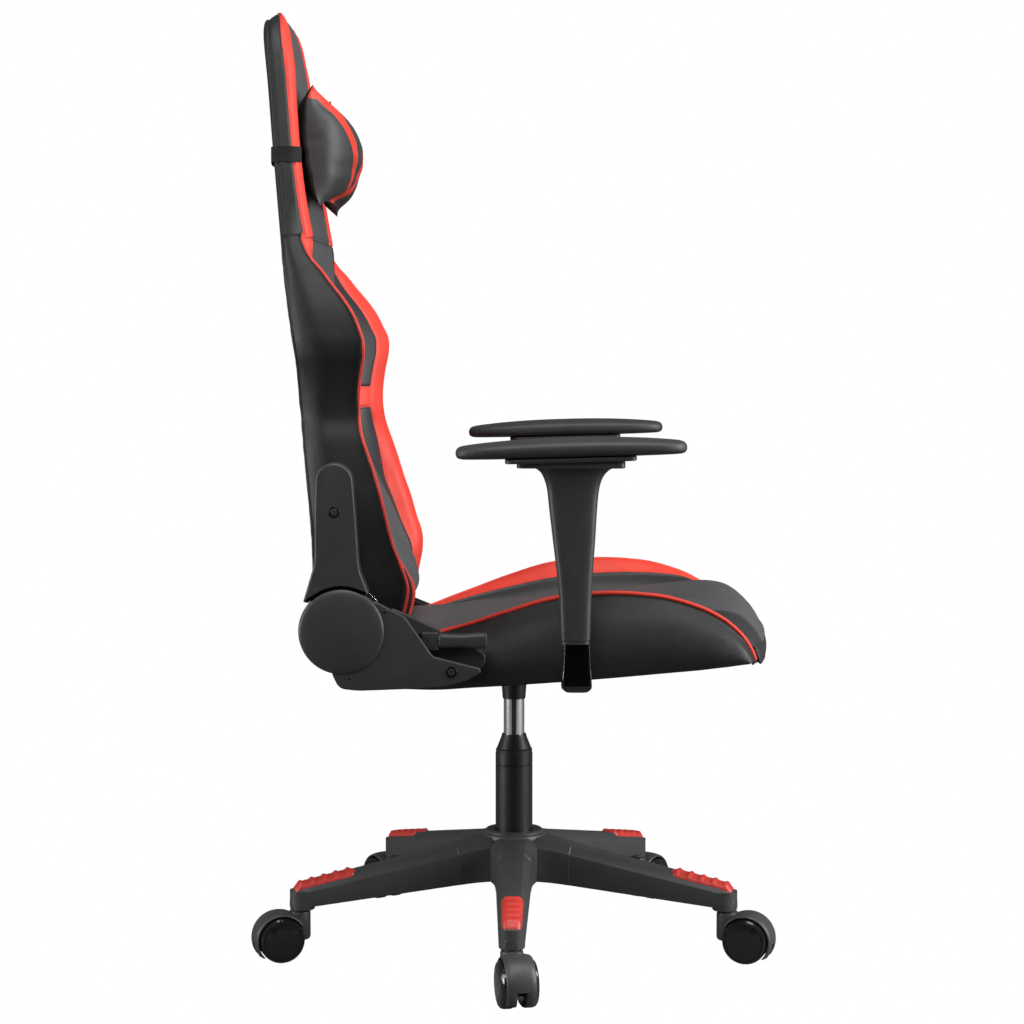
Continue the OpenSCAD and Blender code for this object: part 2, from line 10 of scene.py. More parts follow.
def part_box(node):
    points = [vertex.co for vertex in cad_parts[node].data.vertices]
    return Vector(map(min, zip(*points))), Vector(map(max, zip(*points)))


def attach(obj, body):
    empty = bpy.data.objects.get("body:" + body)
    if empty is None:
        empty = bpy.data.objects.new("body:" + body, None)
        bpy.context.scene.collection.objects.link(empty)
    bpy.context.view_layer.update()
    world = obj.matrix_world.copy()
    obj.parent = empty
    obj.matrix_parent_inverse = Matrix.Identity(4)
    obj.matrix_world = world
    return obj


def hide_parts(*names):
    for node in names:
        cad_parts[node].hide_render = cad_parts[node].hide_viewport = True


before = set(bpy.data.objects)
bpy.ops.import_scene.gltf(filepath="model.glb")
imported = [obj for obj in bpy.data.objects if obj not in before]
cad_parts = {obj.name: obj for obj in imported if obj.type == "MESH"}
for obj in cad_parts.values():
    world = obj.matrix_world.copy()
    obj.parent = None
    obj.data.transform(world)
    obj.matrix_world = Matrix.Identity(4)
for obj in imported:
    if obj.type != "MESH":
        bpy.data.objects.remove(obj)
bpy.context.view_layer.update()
MM = 0.001


# ---------------------------------------------------------------- materials

def material(name, colour, roughness, specular=0.5, coat=0.0, metallic=0.0):
    """A node material, its node tree and its Principled shader, ready for detail to be added."""
    made = bpy.data.materials.new(name)
    made.use_nodes = True
    tree = made.node_tree
    shader = tree.nodes["Principled BSDF"]
    settings = {"Base Color": (*colour, 1), "Roughness": roughness, "Specular IOR Level": specular,
                "Coat Weight": coat, "Metallic": metallic}
    for key, value in settings.items():
        shader.inputs[key].default_value = value
    return made, tree, shader


def add(tree, kind, **values):
    """A new node with some of its inputs set."""
    node = tree.nodes.new(kind)
    for key, value in values.items():
        node.inputs[key.replace("_", " ")].default_value = value
    return node


def placed(tree, kind, **values):
    """A new node that reads the object's own coordinates, from one coordinate node per material."""
    node = add(tree, kind, **values)
    coords = tree.nodes.get("Texture Coordinate") or tree.nodes.new("ShaderNodeTexCoord")
    tree.links.new(coords.outputs["Object"], node.inputs["Vector"])
    return node


def maths(tree, operation, first, second=None):
    """The result of a maths node on an output and, where it takes two, on a number or another output."""
    node = tree.nodes.new("ShaderNodeMath")
    node.operation = operation
    tree.links.new(first, node.inputs[0])
    if isinstance(second, float):
        node.inputs[1].default_value = second
    elif second:
        tree.links.new(second, node.inputs[1])
    return node.outputs[0]


def raised(tree, shader, *layers):
    """Stacks bumps under the shader's normal. A layer is (height output, strength, distance in metres)."""
    below = None
    for height, strength, distance in layers:
        bump = add(tree, "ShaderNodeBump", Strength=strength, Distance=distance)
        tree.links.new(height, bump.inputs["Height"])
        if below:
            tree.links.new(below.outputs["Normal"], bump.inputs["Normal"])
        below = bump
    tree.links.new(below.outputs["Normal"], shader.inputs["Normal"])


def vary_colour(tree, shader, colour, amount, scale):
    """The base colour drifts a little, darker and lighter, over the surface."""
    drift = placed(tree, "ShaderNodeTexNoise", Scale=scale, Detail=5.0)
    ramp = tree.nodes.new("ShaderNodeValToRGB")
    for stop, position, change in zip(ramp.color_ramp.elements, (0.35, 0.65), (-amount, amount)):
        stop.position = position
        stop.color = (*(min(1, c * (1 + change)) for c in colour), 1)
    tree.links.new(drift.outputs["Fac"], ramp.inputs["Fac"])
    tree.links.new(ramp.outputs["Color"], shader.inputs["Base Color"])


def vary_roughness(tree, shader, low, high, scale):
    """The roughness drifts between two values over the surface."""
    drift = placed(tree, "ShaderNodeTexNoise", Scale=scale, Detail=6.0)
    spread = add(tree, "ShaderNodeMapRange", To_Min=low, To_Max=high)
    tree.links.new(drift.outputs["Fac"], spread.inputs["Value"])
    tree.links.new(spread.outputs["Result"], shader.inputs["Roughness"])


def leather(name, colour, roughness=0.46, specular=0.34):
    """Smooth coated leather: pebble grain about 1 mm across, soft creases, and uneven sheen."""
    made, tree, shader = material(name, colour, roughness, specular)
    vary_colour(tree, shader, colour, 0.07, 22)
    vary_roughness(tree, shader, roughness - 0.06, roughness + 0.08, 60)
    grain = placed(tree, "ShaderNodeTexVoronoi", Scale=900.0, Randomness=1.0)
    grain.feature = "DISTANCE_TO_EDGE"
    pores = maths(tree, "MINIMUM", grain.outputs["Distance"], 0.12)
    warp = placed(tree, "ShaderNodeTexNoise", Scale=420.0, Detail=2.0)
    crease = placed(tree, "ShaderNodeTexNoise", Scale=38.0, Detail=4.0)
    raised(tree, shader, (pores, 0.35, 0.0006), (warp.outputs["Fac"], 0.12, 0.001),
           (crease.outputs["Fac"], 0.10, 0.004))
    return made


def plastic(name, colour, roughness, relief=0.18, scale=1400.0, coat=0.0):
    """Moulded plastic with a fine spark-eroded texture and slight handling marks."""
    made, tree, shader = material(name, colour, roughness, 0.42, coat)
    vary_colour(tree, shader, colour, 0.06, 35)
    vary_roughness(tree, shader, roughness - 0.05, roughness + 0.07, 90)
    grain = placed(tree, "ShaderNodeTexNoise", Scale=scale, Detail=3.0, Roughness=0.7)
    raised(tree, shader, (grain.outputs["Fac"], relief, 0.0004))
    return made


def metal(name, colour, roughness, relief):
    """Plated or polished steel with faint turning marks."""
    made, tree, shader = material(name, colour, roughness, metallic=1.0)
    vary_roughness(tree, shader, max(0.02, roughness - 0.04), roughness + 0.06, 120)
    stretch = placed(tree, "ShaderNodeMapping", Scale=(60, 60, 2400))
    marks = add(tree, "ShaderNodeTexNoise", Scale=1.0, Detail=4.0)
    tree.links.new(stretch.outputs["Vector"], marks.inputs["Vector"])
    raised(tree, shader, (marks.outputs["Fac"], relief, 0.0002))
    return made


def powder_coat(name, colour, roughness, coat):
    """Painted steel: a slight orange peel under a gloss coat."""
    made, tree, shader = material(name, colour, roughness, coat=coat)
    vary_colour(tree, shader, colour, 0.08, 40)
    peel = placed(tree, "ShaderNodeTexNoise", Scale=500.0, Detail=2.0)
    raised(tree, shader, (peel.outputs["Fac"], 0.15, 0.0006))
    return made


def woven(name, colour, pitch=0.0012):
    """Woven tape or lining: warp and weft as two crossed sets of ridges."""
    made, tree, shader = material(name, colour, 0.85, 0.3)
    vary_colour(tree, shader, colour, 0.15, 120)
    split = placed(tree, "ShaderNodeSeparateXYZ")
    across_weft = maths(tree, "ADD", split.outputs["X"], split.outputs["Y"])
    warp, weft = [maths(tree, "SINE", maths(tree, "MULTIPLY", way, 2 * math.pi / pitch))
                  for way in (across_weft, split.outputs["Z"])]
    raised(tree, shader, (maths(tree, "MULTIPLY", warp, weft), 0.5, 0.0004))
    return made


BLACK = leather("black_leather", (0.0145, 0.0145, 0.0152), 0.46, 0.27)
GREY = leather("grey_leather", (0.066, 0.067, 0.07), 0.46)
RED = leather("red_leather", (0.62, 0.045, 0.028), 0.5, 0.28)
# Painted shade: the grey leather darkened, for the seat's slopes and lower front and for the wings' inner
# slopes and low strips inside the piping.
SHADED_GREY = leather("grey_leather_painted_shade", (0.024, 0.024, 0.0255), 0.46)
PILLOW_GREY = leather("pillow_leather", (0.036, 0.0365, 0.0385), 0.5)
PLASTIC = plastic("moulded_plastic", (0.012, 0.012, 0.0128), 0.42)
COVER = plastic("cover_plastic", (0.032, 0.032, 0.0337), 0.4, 0.16)
PAD = plastic("pad_plastic", (0.031, 0.031, 0.0326), 0.5, 0.3, 1100.0)
FOOT_RED = plastic("red_plastic", (0.50, 0.035, 0.025), 0.42)
WHEEL = plastic("wheel_plastic", (0.008, 0.008, 0.0085), 0.14, 0.05, 900.0, 0.3)
BASE = plastic("base_plastic", (0.044, 0.044, 0.0462), 0.42)
STEEL = powder_coat("black_steel", (0.005, 0.005, 0.0054), 0.42, 0.08)
GLOSS_STEEL = powder_coat("gloss_steel", (0.002, 0.002, 0.0025), 0.1, 0.3)
CHROME = metal("chrome", (0.86, 0.86, 0.88), 0.07, 0.05)
CLOTH = woven("strap_cloth", (0.012, 0.012, 0.013))
LINING = woven("lining_cloth", (0.015, 0.015, 0.016), 0.0016)


# ---------------------------------------------------------------- mesh helpers

def finish_piece(obj, body, replaced=()):
    """Puts a piece on its body, and hides the CAD nodes it stands for."""
    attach(obj, body)
    if replaced:
        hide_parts(*replaced)


def new_mesh(name, points, faces, looks, face_looks=None, smooth=True):
    """A mesh object in metres. looks are its materials, and face_looks has each face's place among them."""
    mesh = bpy.data.meshes.new(name)
    mesh.from_pydata([tuple(p) for p in points], [], [tuple(f) for f in faces])
    for look in looks:
        mesh.materials.append(look)
    if face_looks is not None:
        mesh.polygons.foreach_set("material_index", np.asarray(face_looks, np.int32))
    mesh.polygons.foreach_set("use_smooth", np.full(len(mesh.polygons), smooth))
    mesh.update()
    obj = bpy.data.objects.new(name, mesh)
    bpy.context.scene.collection.objects.link(obj)
    return obj


def subdivided(obj):
    """Splits each face into four, on a smoother surface."""
    obj.modifiers.new("subdivision", "SUBSURF").levels = 1
    graph = bpy.context.evaluated_depsgraph_get()
    mesh = bpy.data.meshes.new_from_object(obj.evaluated_get(graph))
    obj.modifiers.clear()
    old = obj.data
    obj.data = mesh
    bpy.data.meshes.remove(old)


def ease(x, start, end):
    """0 up to the start, 1 past the end, and a straight ramp between them."""
    return max(0.0, min(1.0, (x - start) / (end - start)))


def catmull(points, t):
    """Points on the smooth curve through a list of points, at parameters 0 to n-1."""
    p = np.asarray(points, float)
    ends = np.concatenate([[2 * p[0] - p[1]], p, [2 * p[-1] - p[-2]]])
    i = np.clip(np.floor(t).astype(int), 0, len(p) - 2)
    f = (t - i).reshape((-1,) + (1,) * (p.ndim - 1))
    a, b, c, d = ends[i], ends[i + 1], ends[i + 2], ends[i + 3]
    return 0.5 * (2 * b + (c - a) * f + (2 * a - 5 * b + 4 * c - d) * f ** 2
                  + (3 * b - a - 3 * c + d) * f ** 3)


def creased(points, t, creases):
    """catmull() over stretches that are smooth between creases and meet at an angle there."""
    p = np.asarray(points, float)
    cuts = sorted({0, len(p) - 1, *creases})
    out = np.zeros((len(t),) + p.shape[1:])
    for a, b in zip(cuts, cuts[1:]):
        inside = (t >= a) & (t <= b)
        stretch = p[a:b + 1]
        if len(stretch) == 2:
            f = (t[inside] - a).reshape((-1,) + (1,) * (p.ndim - 1))
            out[inside] = stretch[0] * (1 - f) + stretch[1] * f
        else:
            out[inside] = catmull(stretch, t[inside] - a)
    return out


def samples(count, lengths, step, seams=()):
    """Parameters along a control row, about step millimetres apart, with extra ones close to each seam."""
    t = [0.0]
    for k in range(count - 1):
        n = max(2, int(round(lengths[k] / step)))
        t += [k + (j + 1) / n for j in range(n)]
    for s in seams:
        for side, k in ((-1, math.ceil(s) - 1), (1, math.floor(s))):
            if 0 <= k < count - 1:
                t += [s + side * g * SEAM_SAMPLES / lengths[k] for g in (0.5, 1, 1.7, 2.6)]
    t = np.array(sorted(t))
    keep = np.concatenate([[True], np.diff(t) > 1e-4])
    return np.clip(t[keep], 0, count - 1)


def spans(net, axis):
    """Mean distance between neighbouring control points along one axis of a net."""
    d = np.linalg.norm(np.diff(net, axis=axis), axis=2)
    return np.maximum(d.mean(axis=1 - axis), 1e-4)


def ring_faces(rings, count):
    """The faces between neighbouring rings that have count points each."""
    faces = []
    for first in range(0, (rings - 1) * count, count):
        for a in range(first, first + count):
            b = first + (a + 1 - first) % count
            faces.append((a, b, b + count, a + count))
    return faces


def capped(rings):
    """The points of a stack of rings, and its faces with both ends closed."""
    n = len(rings[0])
    points = np.concatenate([np.asarray(ring, float) for ring in rings])
    ends = [tuple(reversed(range(n))), tuple(len(points) - n + k for k in range(n))]
    return points, ring_faces(len(rings), n) + ends


def follow(table, at):
    """A smooth curve through (position, value) pairs, read at one or more positions."""
    fine = catmull(table, np.linspace(0, len(table) - 1, 40 * len(table)))
    return np.interp(at, fine[:, 0], fine[:, 1])


def mirrored(half):
    """A whole loop from the half of it that runs from the middle plane round the +X side."""
    return half + [(-x, y, z) for x, y, z in reversed(half[1:-1])]


def pucker(points, normals, near, size=0.0005):
    """Small gathers in the cover beside a sewn line, as it pulls on its thread."""
    for r, c in zip(*np.nonzero(near > 0.02)):
        p = Vector(points[r, c])
        n = noise.noise(p * 75) + 0.5 * noise.noise(p * 170 + Vector((3, 1, 7)))
        points[r, c] += normals[r, c] * n * size * near[r, c]


def distance_to(points, t, at, axis):
    """How far each point of a grid lies from one of its rows or columns, along the surface."""
    steps = np.linalg.norm(np.diff(points, axis=axis), axis=2)
    first = np.zeros_like(np.take(steps, [0], axis=axis))
    along = np.cumsum(np.concatenate([first, steps], axis=axis), axis=axis)
    here = [np.interp(at, t, line) for line in (along if axis == 1 else along.T)]
    return np.abs(along - np.expand_dims(here, axis))


SEAM_WIDTH = 0.0022
GATHER_WIDTH = 0.012
SEAM_SAMPLES = 1.6
COVER_STEP = 5.0


def quilted(name, net, paint, looks, body, replaced=(), creases=(), row_creases=(), seams=(),
            row_seams=(), depth=1.6):
    """A sewn cover over a net of control points in millimetres: rows along the piece, columns round it.

    Seams are column numbers, or (number, first row, last row). Row seams are (row, first column, last one).
    depth is how far a seam sinks, in millimetres. paint(column, row) gives a face's place among the looks."""
    net = np.asarray(net, float)
    net = np.concatenate([net, net[:, :1]], axis=1)
    seams = [s if isinstance(s, tuple) else (s, -1, 1e9) for s in seams]
    t = samples(net.shape[1], spans(net, 1), COVER_STEP, [s[0] for s in seams])
    v = samples(net.shape[0], spans(net, 0), COVER_STEP, [s[0] for s in row_seams])
    wide = np.stack([creased(row, t, creases) for row in net])
    points = np.stack([creased(wide[:, c], v, row_creases) for c in range(len(t))], axis=1) * MM
    du = np.gradient(points, axis=1)
    du[:, 0] = du[:, -1] = points[:, 1] - points[:, -2]
    normals = np.cross(np.gradient(points, axis=0), du)
    normals /= np.linalg.norm(normals, axis=2, keepdims=True) + 1e-12
    sink = np.zeros(points.shape[:2])
    near = np.zeros(points.shape[:2])
    for axis, along, other, lines in ((1, t, v, seams), (0, v, t, row_seams)):
        for at, first, last in lines:
            d = distance_to(points, along, at, axis)
            inside = np.expand_dims((other >= first) & (other <= last), axis)
            sink = np.maximum(sink, inside * np.exp(-(d / SEAM_WIDTH) ** 2))
            near = np.maximum(near, inside * np.exp(-d / GATHER_WIDTH))
    points = points - normals * (sink * depth * MM)[..., None]
    pucker(points, normals, near)
    points = points[:, :-1]
    rows, cols = points.shape[:2]
    faces = ring_faces(rows, cols)
    kinds = [paint(u, w) for w in (v[1:] + v[:-1]) / 2 for u in (t[1:] + t[:-1]) / 2]
    flat = points.reshape(-1, 3)
    for row, order in ((0, 1), (rows - 1, -1)):
        hub = len(flat)
        flat = np.concatenate([flat, points[row].mean(axis=0)[None]])
        for c in range(cols):
            faces.append((row * cols + c, hub, row * cols + (c + 1) % cols)[::order])
            kinds.append(0)
    obj = new_mesh(name, flat, faces, looks, kinds)
    clean(obj)
    finish_piece(obj, body, replaced)
    return obj


def clean(obj, gap=0.00003):
    """Joins points that coincide, drops empty faces, and turns every face outwards."""
    mesh = bmesh.new()
    mesh.from_mesh(obj.data)
    bmesh.ops.remove_doubles(mesh, verts=mesh.verts, dist=gap)
    bmesh.ops.dissolve_degenerate(mesh, edges=mesh.edges, dist=gap)
    bmesh.ops.recalc_face_normals(mesh, faces=mesh.faces)
    mesh.to_mesh(obj.data)
    mesh.free()


def piping(name, path, radius, body, sides=12):
    """A red cord swept along a path in millimetres, with domed ends."""
    p = np.asarray(path, float) * MM
    r = radius * MM
    tangent = np.gradient(p, axis=0)
    tangent /= np.linalg.norm(tangent, axis=1, keepdims=True)
    side = np.cross(tangent[0], (0, 0, 1) if abs(tangent[0][2]) < 0.9 else (1, 0, 0))
    angles = np.arange(sides) * 2 * math.pi / sides
    rings = []
    for centre, ahead in zip(p, tangent):
        side = side - ahead * (side @ ahead)
        side /= np.linalg.norm(side)
        up = np.cross(ahead, side)
        rings.append(centre + r * (np.outer(np.cos(angles), side) + np.outer(np.sin(angles), up)))
    for end, sign in ((0, -1), (-1, 1)):
        dome = [p[end] + (rings[end] - p[end]) * math.cos(a) + tangent[end] * sign * r * math.sin(a)
                for a in (0.6, 1.2)]
        rings = dome[::-1] + rings if end == 0 else rings + dome
    obj = new_mesh(name, *capped(rings), [RED])
    clean(obj)
    finish_piece(obj, body)


# ---------------------------------------------------------------- backrest

BACK_BOTTOM = 468
BACK_TOP = 1245
WING_TOP = 946

# Curves of the back as (height, value): Y of its rear, of the wings' piping and of its middle panel, X of the
# piping, and half the width of the core. RAISED is how far each side of the head stands out in front, and
# LEFT_BACK is how far the left wing's piping lies behind the right one's.
REAR = [(468, 248), (565, 250), (606, 253), (686, 260.5), (742, 265.5), (792, 268.5), (842, 275.5),
        (892, 283), (942, 289), (991, 293.6), (1066, 300.7), (1145, 307.7), (1208, 314.7), (1245, 317.7)]
PIPING_Y = [(468, 140), (482, 135), (500, 131.5), (515, 132), (544, 142), (565, 150), (610, 161), (644, 170),
            (669, 178), (689, 185), (709, 190), (738, 192), (768, 189.5), (797, 184.5), (815, 184.5),
            (827, 188), (847, 196), (866, 208), (886, 224), (903, 237), (915, 248), (928, 256.5),
            (942, 262.5), (950, 266)]
PIPING_X = [(468, 234), (500, 240), (543, 243), (600, 243), (640, 240), (690, 235), (720, 227),
            (735, 227.5), (770, 237), (800, 249.5), (820, 251.5), (860, 245), (915, 225), (950, 210)]
MIDDLE = [(468, 148), (483, 134.5), (509, 138), (541, 151), (591, 173), (640, 199), (700, 222), (760, 236),
          (850, 245), (930, 252), (985, 261), (1032, 268), (1083, 273), (1130, 277.5), (1163, 281),
          (1190, 285.5), (1217, 290.3), (1232, 295.5), (1245, 306.5)]
HEAD_HALF = [(860, 212), (930, 210), (948, 208), (1049, 190), (1110, 178), (1174, 164), (1200, 152),
             (1222, 132), (1236, 100), (1243, 54), (1245, 0.5)]
RAISED = {-1: [(900, 0), (925, 4), (946, 7), (1100, 7.5), (1160, 9.5), (1245, 9.5)],
          1: [(900, 0), (925, 1), (946, 2), (1100, 2.5), (1160, 1.5), (1245, 1.5)]}
LEFT_BACK = [(468, 7), (504, 7), (540, -3), (585, -4), (640, 0), (800, 0), (840, 3), (900, 4.5), (950, 4)]
STRIPE = (720, 752)
BAND = 30


def core_row(z, s):
    """Half of the back's section at one height, from the middle of the rear round to the front of side s."""
    half = follow(HEAD_HALF, z)
    rear = follow(REAR, z)
    middle = follow(MIDDLE, z)
    top = ease(z, 1195, BACK_TOP) ** 2
    thick = rear - middle
    seam_y = rear - 0.78 * thick - 1
    raised_by = follow(RAISED[s], z) * (1 - top)
    lean = 9 * ease(z, 1010, WING_TOP)
    edge = max(0.0, half - 3 - lean)
    band_x = max(0.0, half - BAND - 31 * top - lean)
    if z < WING_TOP:
        sunk = ease(z, 908, 863)
        foot = 168
        half = half - 8 * ease(z, 920, 895)
        loop = [(0, rear + 8), (half * 0.6, rear + 6.5), (half * 0.92, rear + 1.5), (half - 2, rear - 6),
                (half, rear - 16), (half - 4, rear - 0.5 * thick), (half - 12, seam_y + 14 * sunk),
                (half - 26, middle + 4 - raised_by + 16 * sunk), (foot, middle + 3 + 5 * sunk),
                (foot * 0.55, middle + 3 - 5 * sunk), (0, middle + 2 - 6 * sunk)]
        return [(s * x, y, z) for x, y in loop]
    swell = 5 * (1 - top)
    loop = [(0, rear + 8 - 8 * top), (half * 0.6, rear + 6.5 - 7 * top), (half * 0.92, rear + 1.5 - 2 * top),
            (half - 1.5, rear - 5), (half + 0.5, rear - 0.35 * thick), (edge, seam_y),
            (edge - 14 * (1 - top), middle + 4 - raised_by), (band_x, middle + 5),
            (band_x * 0.8, middle + 5 - swell * 0.5), (band_x * 0.5, middle + 5 - swell),
            (0, middle + 4 - swell)]
    droop = 13 * ease(z, 1190, 1243) ** 2
    return [(s * x, y, z - droop * ease(y, 299, 313)) for x, y in loop]


def back_core():
    """The back's sewn core, with its cross stripe and the head band round its top."""
    low = [BACK_BOTTOM, 474, 483, 496, 515, 541, 570, 600, 640, 680, *STRIPE, 810, 860, 900, 925,
           WING_TOP - 3, WING_TOP + 1]
    arch = [970, 1005, 1049, 1085, 1120, 1150, 1174, 1188, 1200, 1212, 1222, 1230, 1236, 1240, 1243, 1244.6,
            BACK_TOP]
    net = [core_row(z, 1) + core_row(z, -1)[-2:0:-1] for z in low + arch]
    first_head = len(low) - 1
    stripe = low.index(STRIPE[0])
    yoke = low.index(900)
    black, red, grey = range(3)

    def paint(u, v):
        u = min(u, 20 - u)
        if v > first_head:
            return black if u < 5 else red if u < 7 else grey
        if u > 7.6 and stripe < v < stripe + 1:
            return red
        if v > first_head - 3 and 5 < u < 7.4:
            return red
        return grey if u > 8 else black

    seams = [3, 17, *((k, first_head - 3, 99) for k in (5, 15, 7, 13)), (1.2, 2, 99), (18.8, 2, 99),
             (8, 0, first_head - 1), (12, 0, first_head - 1)]
    rows = [(stripe, 8, 12), (stripe + 1, 8, 12), (first_head, 7, 13), (yoke, 17, 20), (yoke, 0, 3)]
    obj = quilted("back_panel", net, paint, [BLACK, RED, GREY], "back", ["back_cushion"],
                  seams=seams, row_seams=rows)


def piping_y(z, s):
    """The piping's place along Y. The left wing differs a little from the right one."""
    return follow(PIPING_Y, z) + (follow(LEFT_BACK, z) if s > 0 else 0)


def wing_row(z, s):
    """A wing's loop at one height, from the rear corner out over the piping and down to the foot."""
    rear = follow(REAR, z)
    py = piping_y(z, s)
    px = follow(PIPING_X, z)
    deep = rear - py
    low = ease(z, 548, 508)
    high = ease(z, 880, 940)
    gore = (5 if s < 0 else 0) * low
    ridge = (9 if s < 0 else 0) * low
    back_y = py + 12.5 + 12 * ease(z, 690, 600) * (1 - low) - 3 * high
    band_x = px - BAND - 4 + 14 * high
    foot_x = 166 + 12 * high
    foot_y = max(follow(MIDDLE, z) + 2 + 12 * high, py + 10)
    slope_y = (back_y + foot_y) / 2 - 3
    belly = 5 * math.sin(math.pi * ease(z, 440, 1000))
    loop = [(px - 9, rear - 1), (px - 1, rear - 0.14 * deep), (px + belly + 1.5, rear - 0.40 * deep),
            (px + belly * 0.3 + 1.5, rear - 0.75 * deep), (px, py + 1), (px - 3 - gore * 0.5, py - 1 - gore),
            (px - 10 - gore, py - 1.2 - ridge), (px - 22 - gore, py + 4.5 - ridge * 0.9), (band_x, back_y),
            ((band_x + foot_x) / 2, slope_y), (foot_x, foot_y), (156, min(foot_y + 26, rear - 14)),
            (156, rear - 8)]
    return [(s * x, y, z) for x, y in loop]


def wing(side, s):
    """A wing of the back with its red band and piping, drawn in over the core at its top."""
    heights = [BACK_BOTTOM + 3, 482, 500, 515, 530, 544, 565, 590, 615, 644, 669, 695, STRIPE[0],
               STRIPE[1] - 3, 778, 797, 815, 827, 847, 866, 886, 903, 920, 934, 942]
    net = [wing_row(z, s) for z in heights]
    stripe = heights.index(STRIPE[0])
    last = np.array(net[-1])
    pull = last.copy()
    pull[:, 0] -= s * 9
    pull[:, 2] = WING_TOP + 3
    net += [(last * 0.75 + pull * 0.25 + np.array([0, 0, 1.8])).tolist(), pull.tolist()]
    black, red, dark = range(3)

    def paint(u, v):
        if u < 4 or u >= 10:
            return black
        if u < 8:
            # Painted shade: the inner slope beside the red band, and the strip inside the piping near the foot,
            # take the darkened grey leather.
            return dark if v < 4.5 and u < 5 else red
        return red if stripe < v < stripe + 1 else dark

    obj = quilted(f"back_wing_{side}", net, paint, [BLACK, RED, SHADED_GREY], "back",
                  ["back_bolsters"] if s < 0 else [],
                  creases=(0, 4, 10, 11, 12), row_creases=(len(heights) - 1,),
                  seams=(0, 4, (8, 0, 99), (5, 0, 4)), row_seams=[(stripe, 8, 10), (stripe + 1, 8, 10)])
    line = [(s * (follow(PIPING_X, z) + 0.4), piping_y(z, s) - 0.6, z)
            for z in np.arange(BACK_BOTTOM + 2, WING_TOP - 1, 4.0)]
    piping(f"back_piping_{side}", line, 1.9, "back")


# ---------------------------------------------------------------- seat

def seat_row(edge, middle, bottom, band):
    """Half of the seat's section: under the middle, the side, the piping, then in to the middle on top."""
    px, py, pz = edge
    cy, cz = middle
    bx, by, bz = bottom
    foot_x = min(172, px - 34)
    foot_z = cz - 12 * ease(pz, bz, bz + 46)
    foot_y = py + (cy - py) * 0.62
    fall = max(3.0, (pz - foot_z) * 0.42)
    deep = pz - bz
    hump = 1 if band > 8 else 0
    return [(0, by + 6, bz + 6), (150, by + 4, bz + 5), (bx - 5, by + 1, bz + 0.5), (bx, by, bz + 3),
            (bx + 3 * min(1, deep / 60), by - 1, bz + 0.3 * deep),
            (bx - 0.25 * (bx - px), by + (py - by) * 0.6, bz + 0.68 * deep), (px, py, pz),
            (px - 4, py - 0.5, pz + 2.4 * hump),
            (px - 10, py + (foot_y - py) * 0.16, pz + 1.6 * hump - 0.1 * fall),
            (px - 10 - band * 0.7, py + (foot_y - py) * 0.45, pz - fall),
            (0.5 * (px - 10 - band + foot_x), py + (foot_y - py) * 0.8, pz - 0.72 * (pz - foot_z)),
            (foot_x, foot_y, foot_z), (foot_x * 0.6, foot_y + (cy - foot_y) * 0.64, cz - 0.5),
            (0, cy, cz)]


# Stations from the rear to the nose: the piping, the middle (Y, Z), the lower edge and the red band's width.
SEAT_LINES = [
    ((168, 190, 413), (192, 430), (228, 206, 389), 12),
    ((172, 165, 424), (168, 446), (240, 180, 383), 20),
    ((181, 120, 437), (122, 450), (246, 125, 381), 26),
    ((194, 90, 447.5), (90, 451), (249, 90, 381), 28),
    ((213, 52, 460), (50, 455), (251, 50, 384), 25),
    ((221, 10, 475), (5, 458), (252, 5, 387), 24),
    ((223, -41, 491), (-50, 463), (252, -50, 391), 22),
    ((223, -85, 498), (-85, 467), (252, -88, 394), 21),
    ((223, -125, 500), (-122, 471), (252, -125, 397), 21),
    ((223, -160, 498.5), (-155, 475), (251.5, -160, 400), 21),
    ((223, -195, 494), (-195, 478.5), (251, -195, 403), 21),
    ((224, -235, 482), (-240, 483), (250.5, -232, 406), 20),
    ((225, -262, 468.5), (-272, 483.5), (250, -256, 408.5), 16),
    ((226, -276, 458), (-298, 477), (249, -270, 410), 12),
    ((227, -287, 447.5), (-318, 460), (248, -282, 411.5), 4),
    ((228, -296, 435), (-330.5, 437), (247, -290, 412.5), 2),
    ((228, -302, 423), (-334, 424), (246, -296, 413), 1),
    ((226, -305, 413.5), (-332, 413), (243, -298, 413), 1),
]


def seat():
    """The sewn cover over the seat and its bolsters, with the piping along both sides."""
    net = [mirrored(seat_row(*line)) for line in SEAT_LINES]
    nose = len(net) - 3
    band_end = 13
    black, red, grey, dark = range(4)

    def paint(u, v):
        u = min(u, 26 - u)
        if u < 6:
            return black
        if u < 9 and 1.2 < v < band_end:
            return red
        # Painted shade: the slopes beside the red band and the front below the cross seam take the darkened
        # grey leather.
        return dark if u < 11 or v > nose else grey

    seams = [6, 20, (9, 0, band_end), (17, 0, band_end), (11, 0, nose), (15, 0, nose)]
    obj = quilted("seat_cover", net, paint, [BLACK, RED, GREY, SHADED_GREY], "seat",
                  ["seat_cushion", "seat_bolsters"], creases=(2, 6, 11, 15, 20, 24),
                  seams=seams, row_seams=[(nose, 7, 19)], depth=1.8)
    t = np.linspace(0.5, len(SEAT_LINES) - 1.4, 150)
    line = catmull([station[0] for station in SEAT_LINES], t) + np.array([0.6, 0, 1.2])
    for side, s in (("left", 1), ("right", -1)):
        piping(f"seat_piping_{side}", line * np.array([s, 1, 1]), 2.7, "seat")


UNDER_WIDE = 468
UNDER_DEEP = 456
UNDER_MIDDLE = -44
UNDER_TURN = Matrix.Translation((0, 0, 400)) @ Matrix.Rotation(math.radians(-3.9), 4, "X")
OPENING_X = 92
OPENING_Y = (-122, 122)
NOTCH_X = 146
NOTCH_Y = (-102, -58)


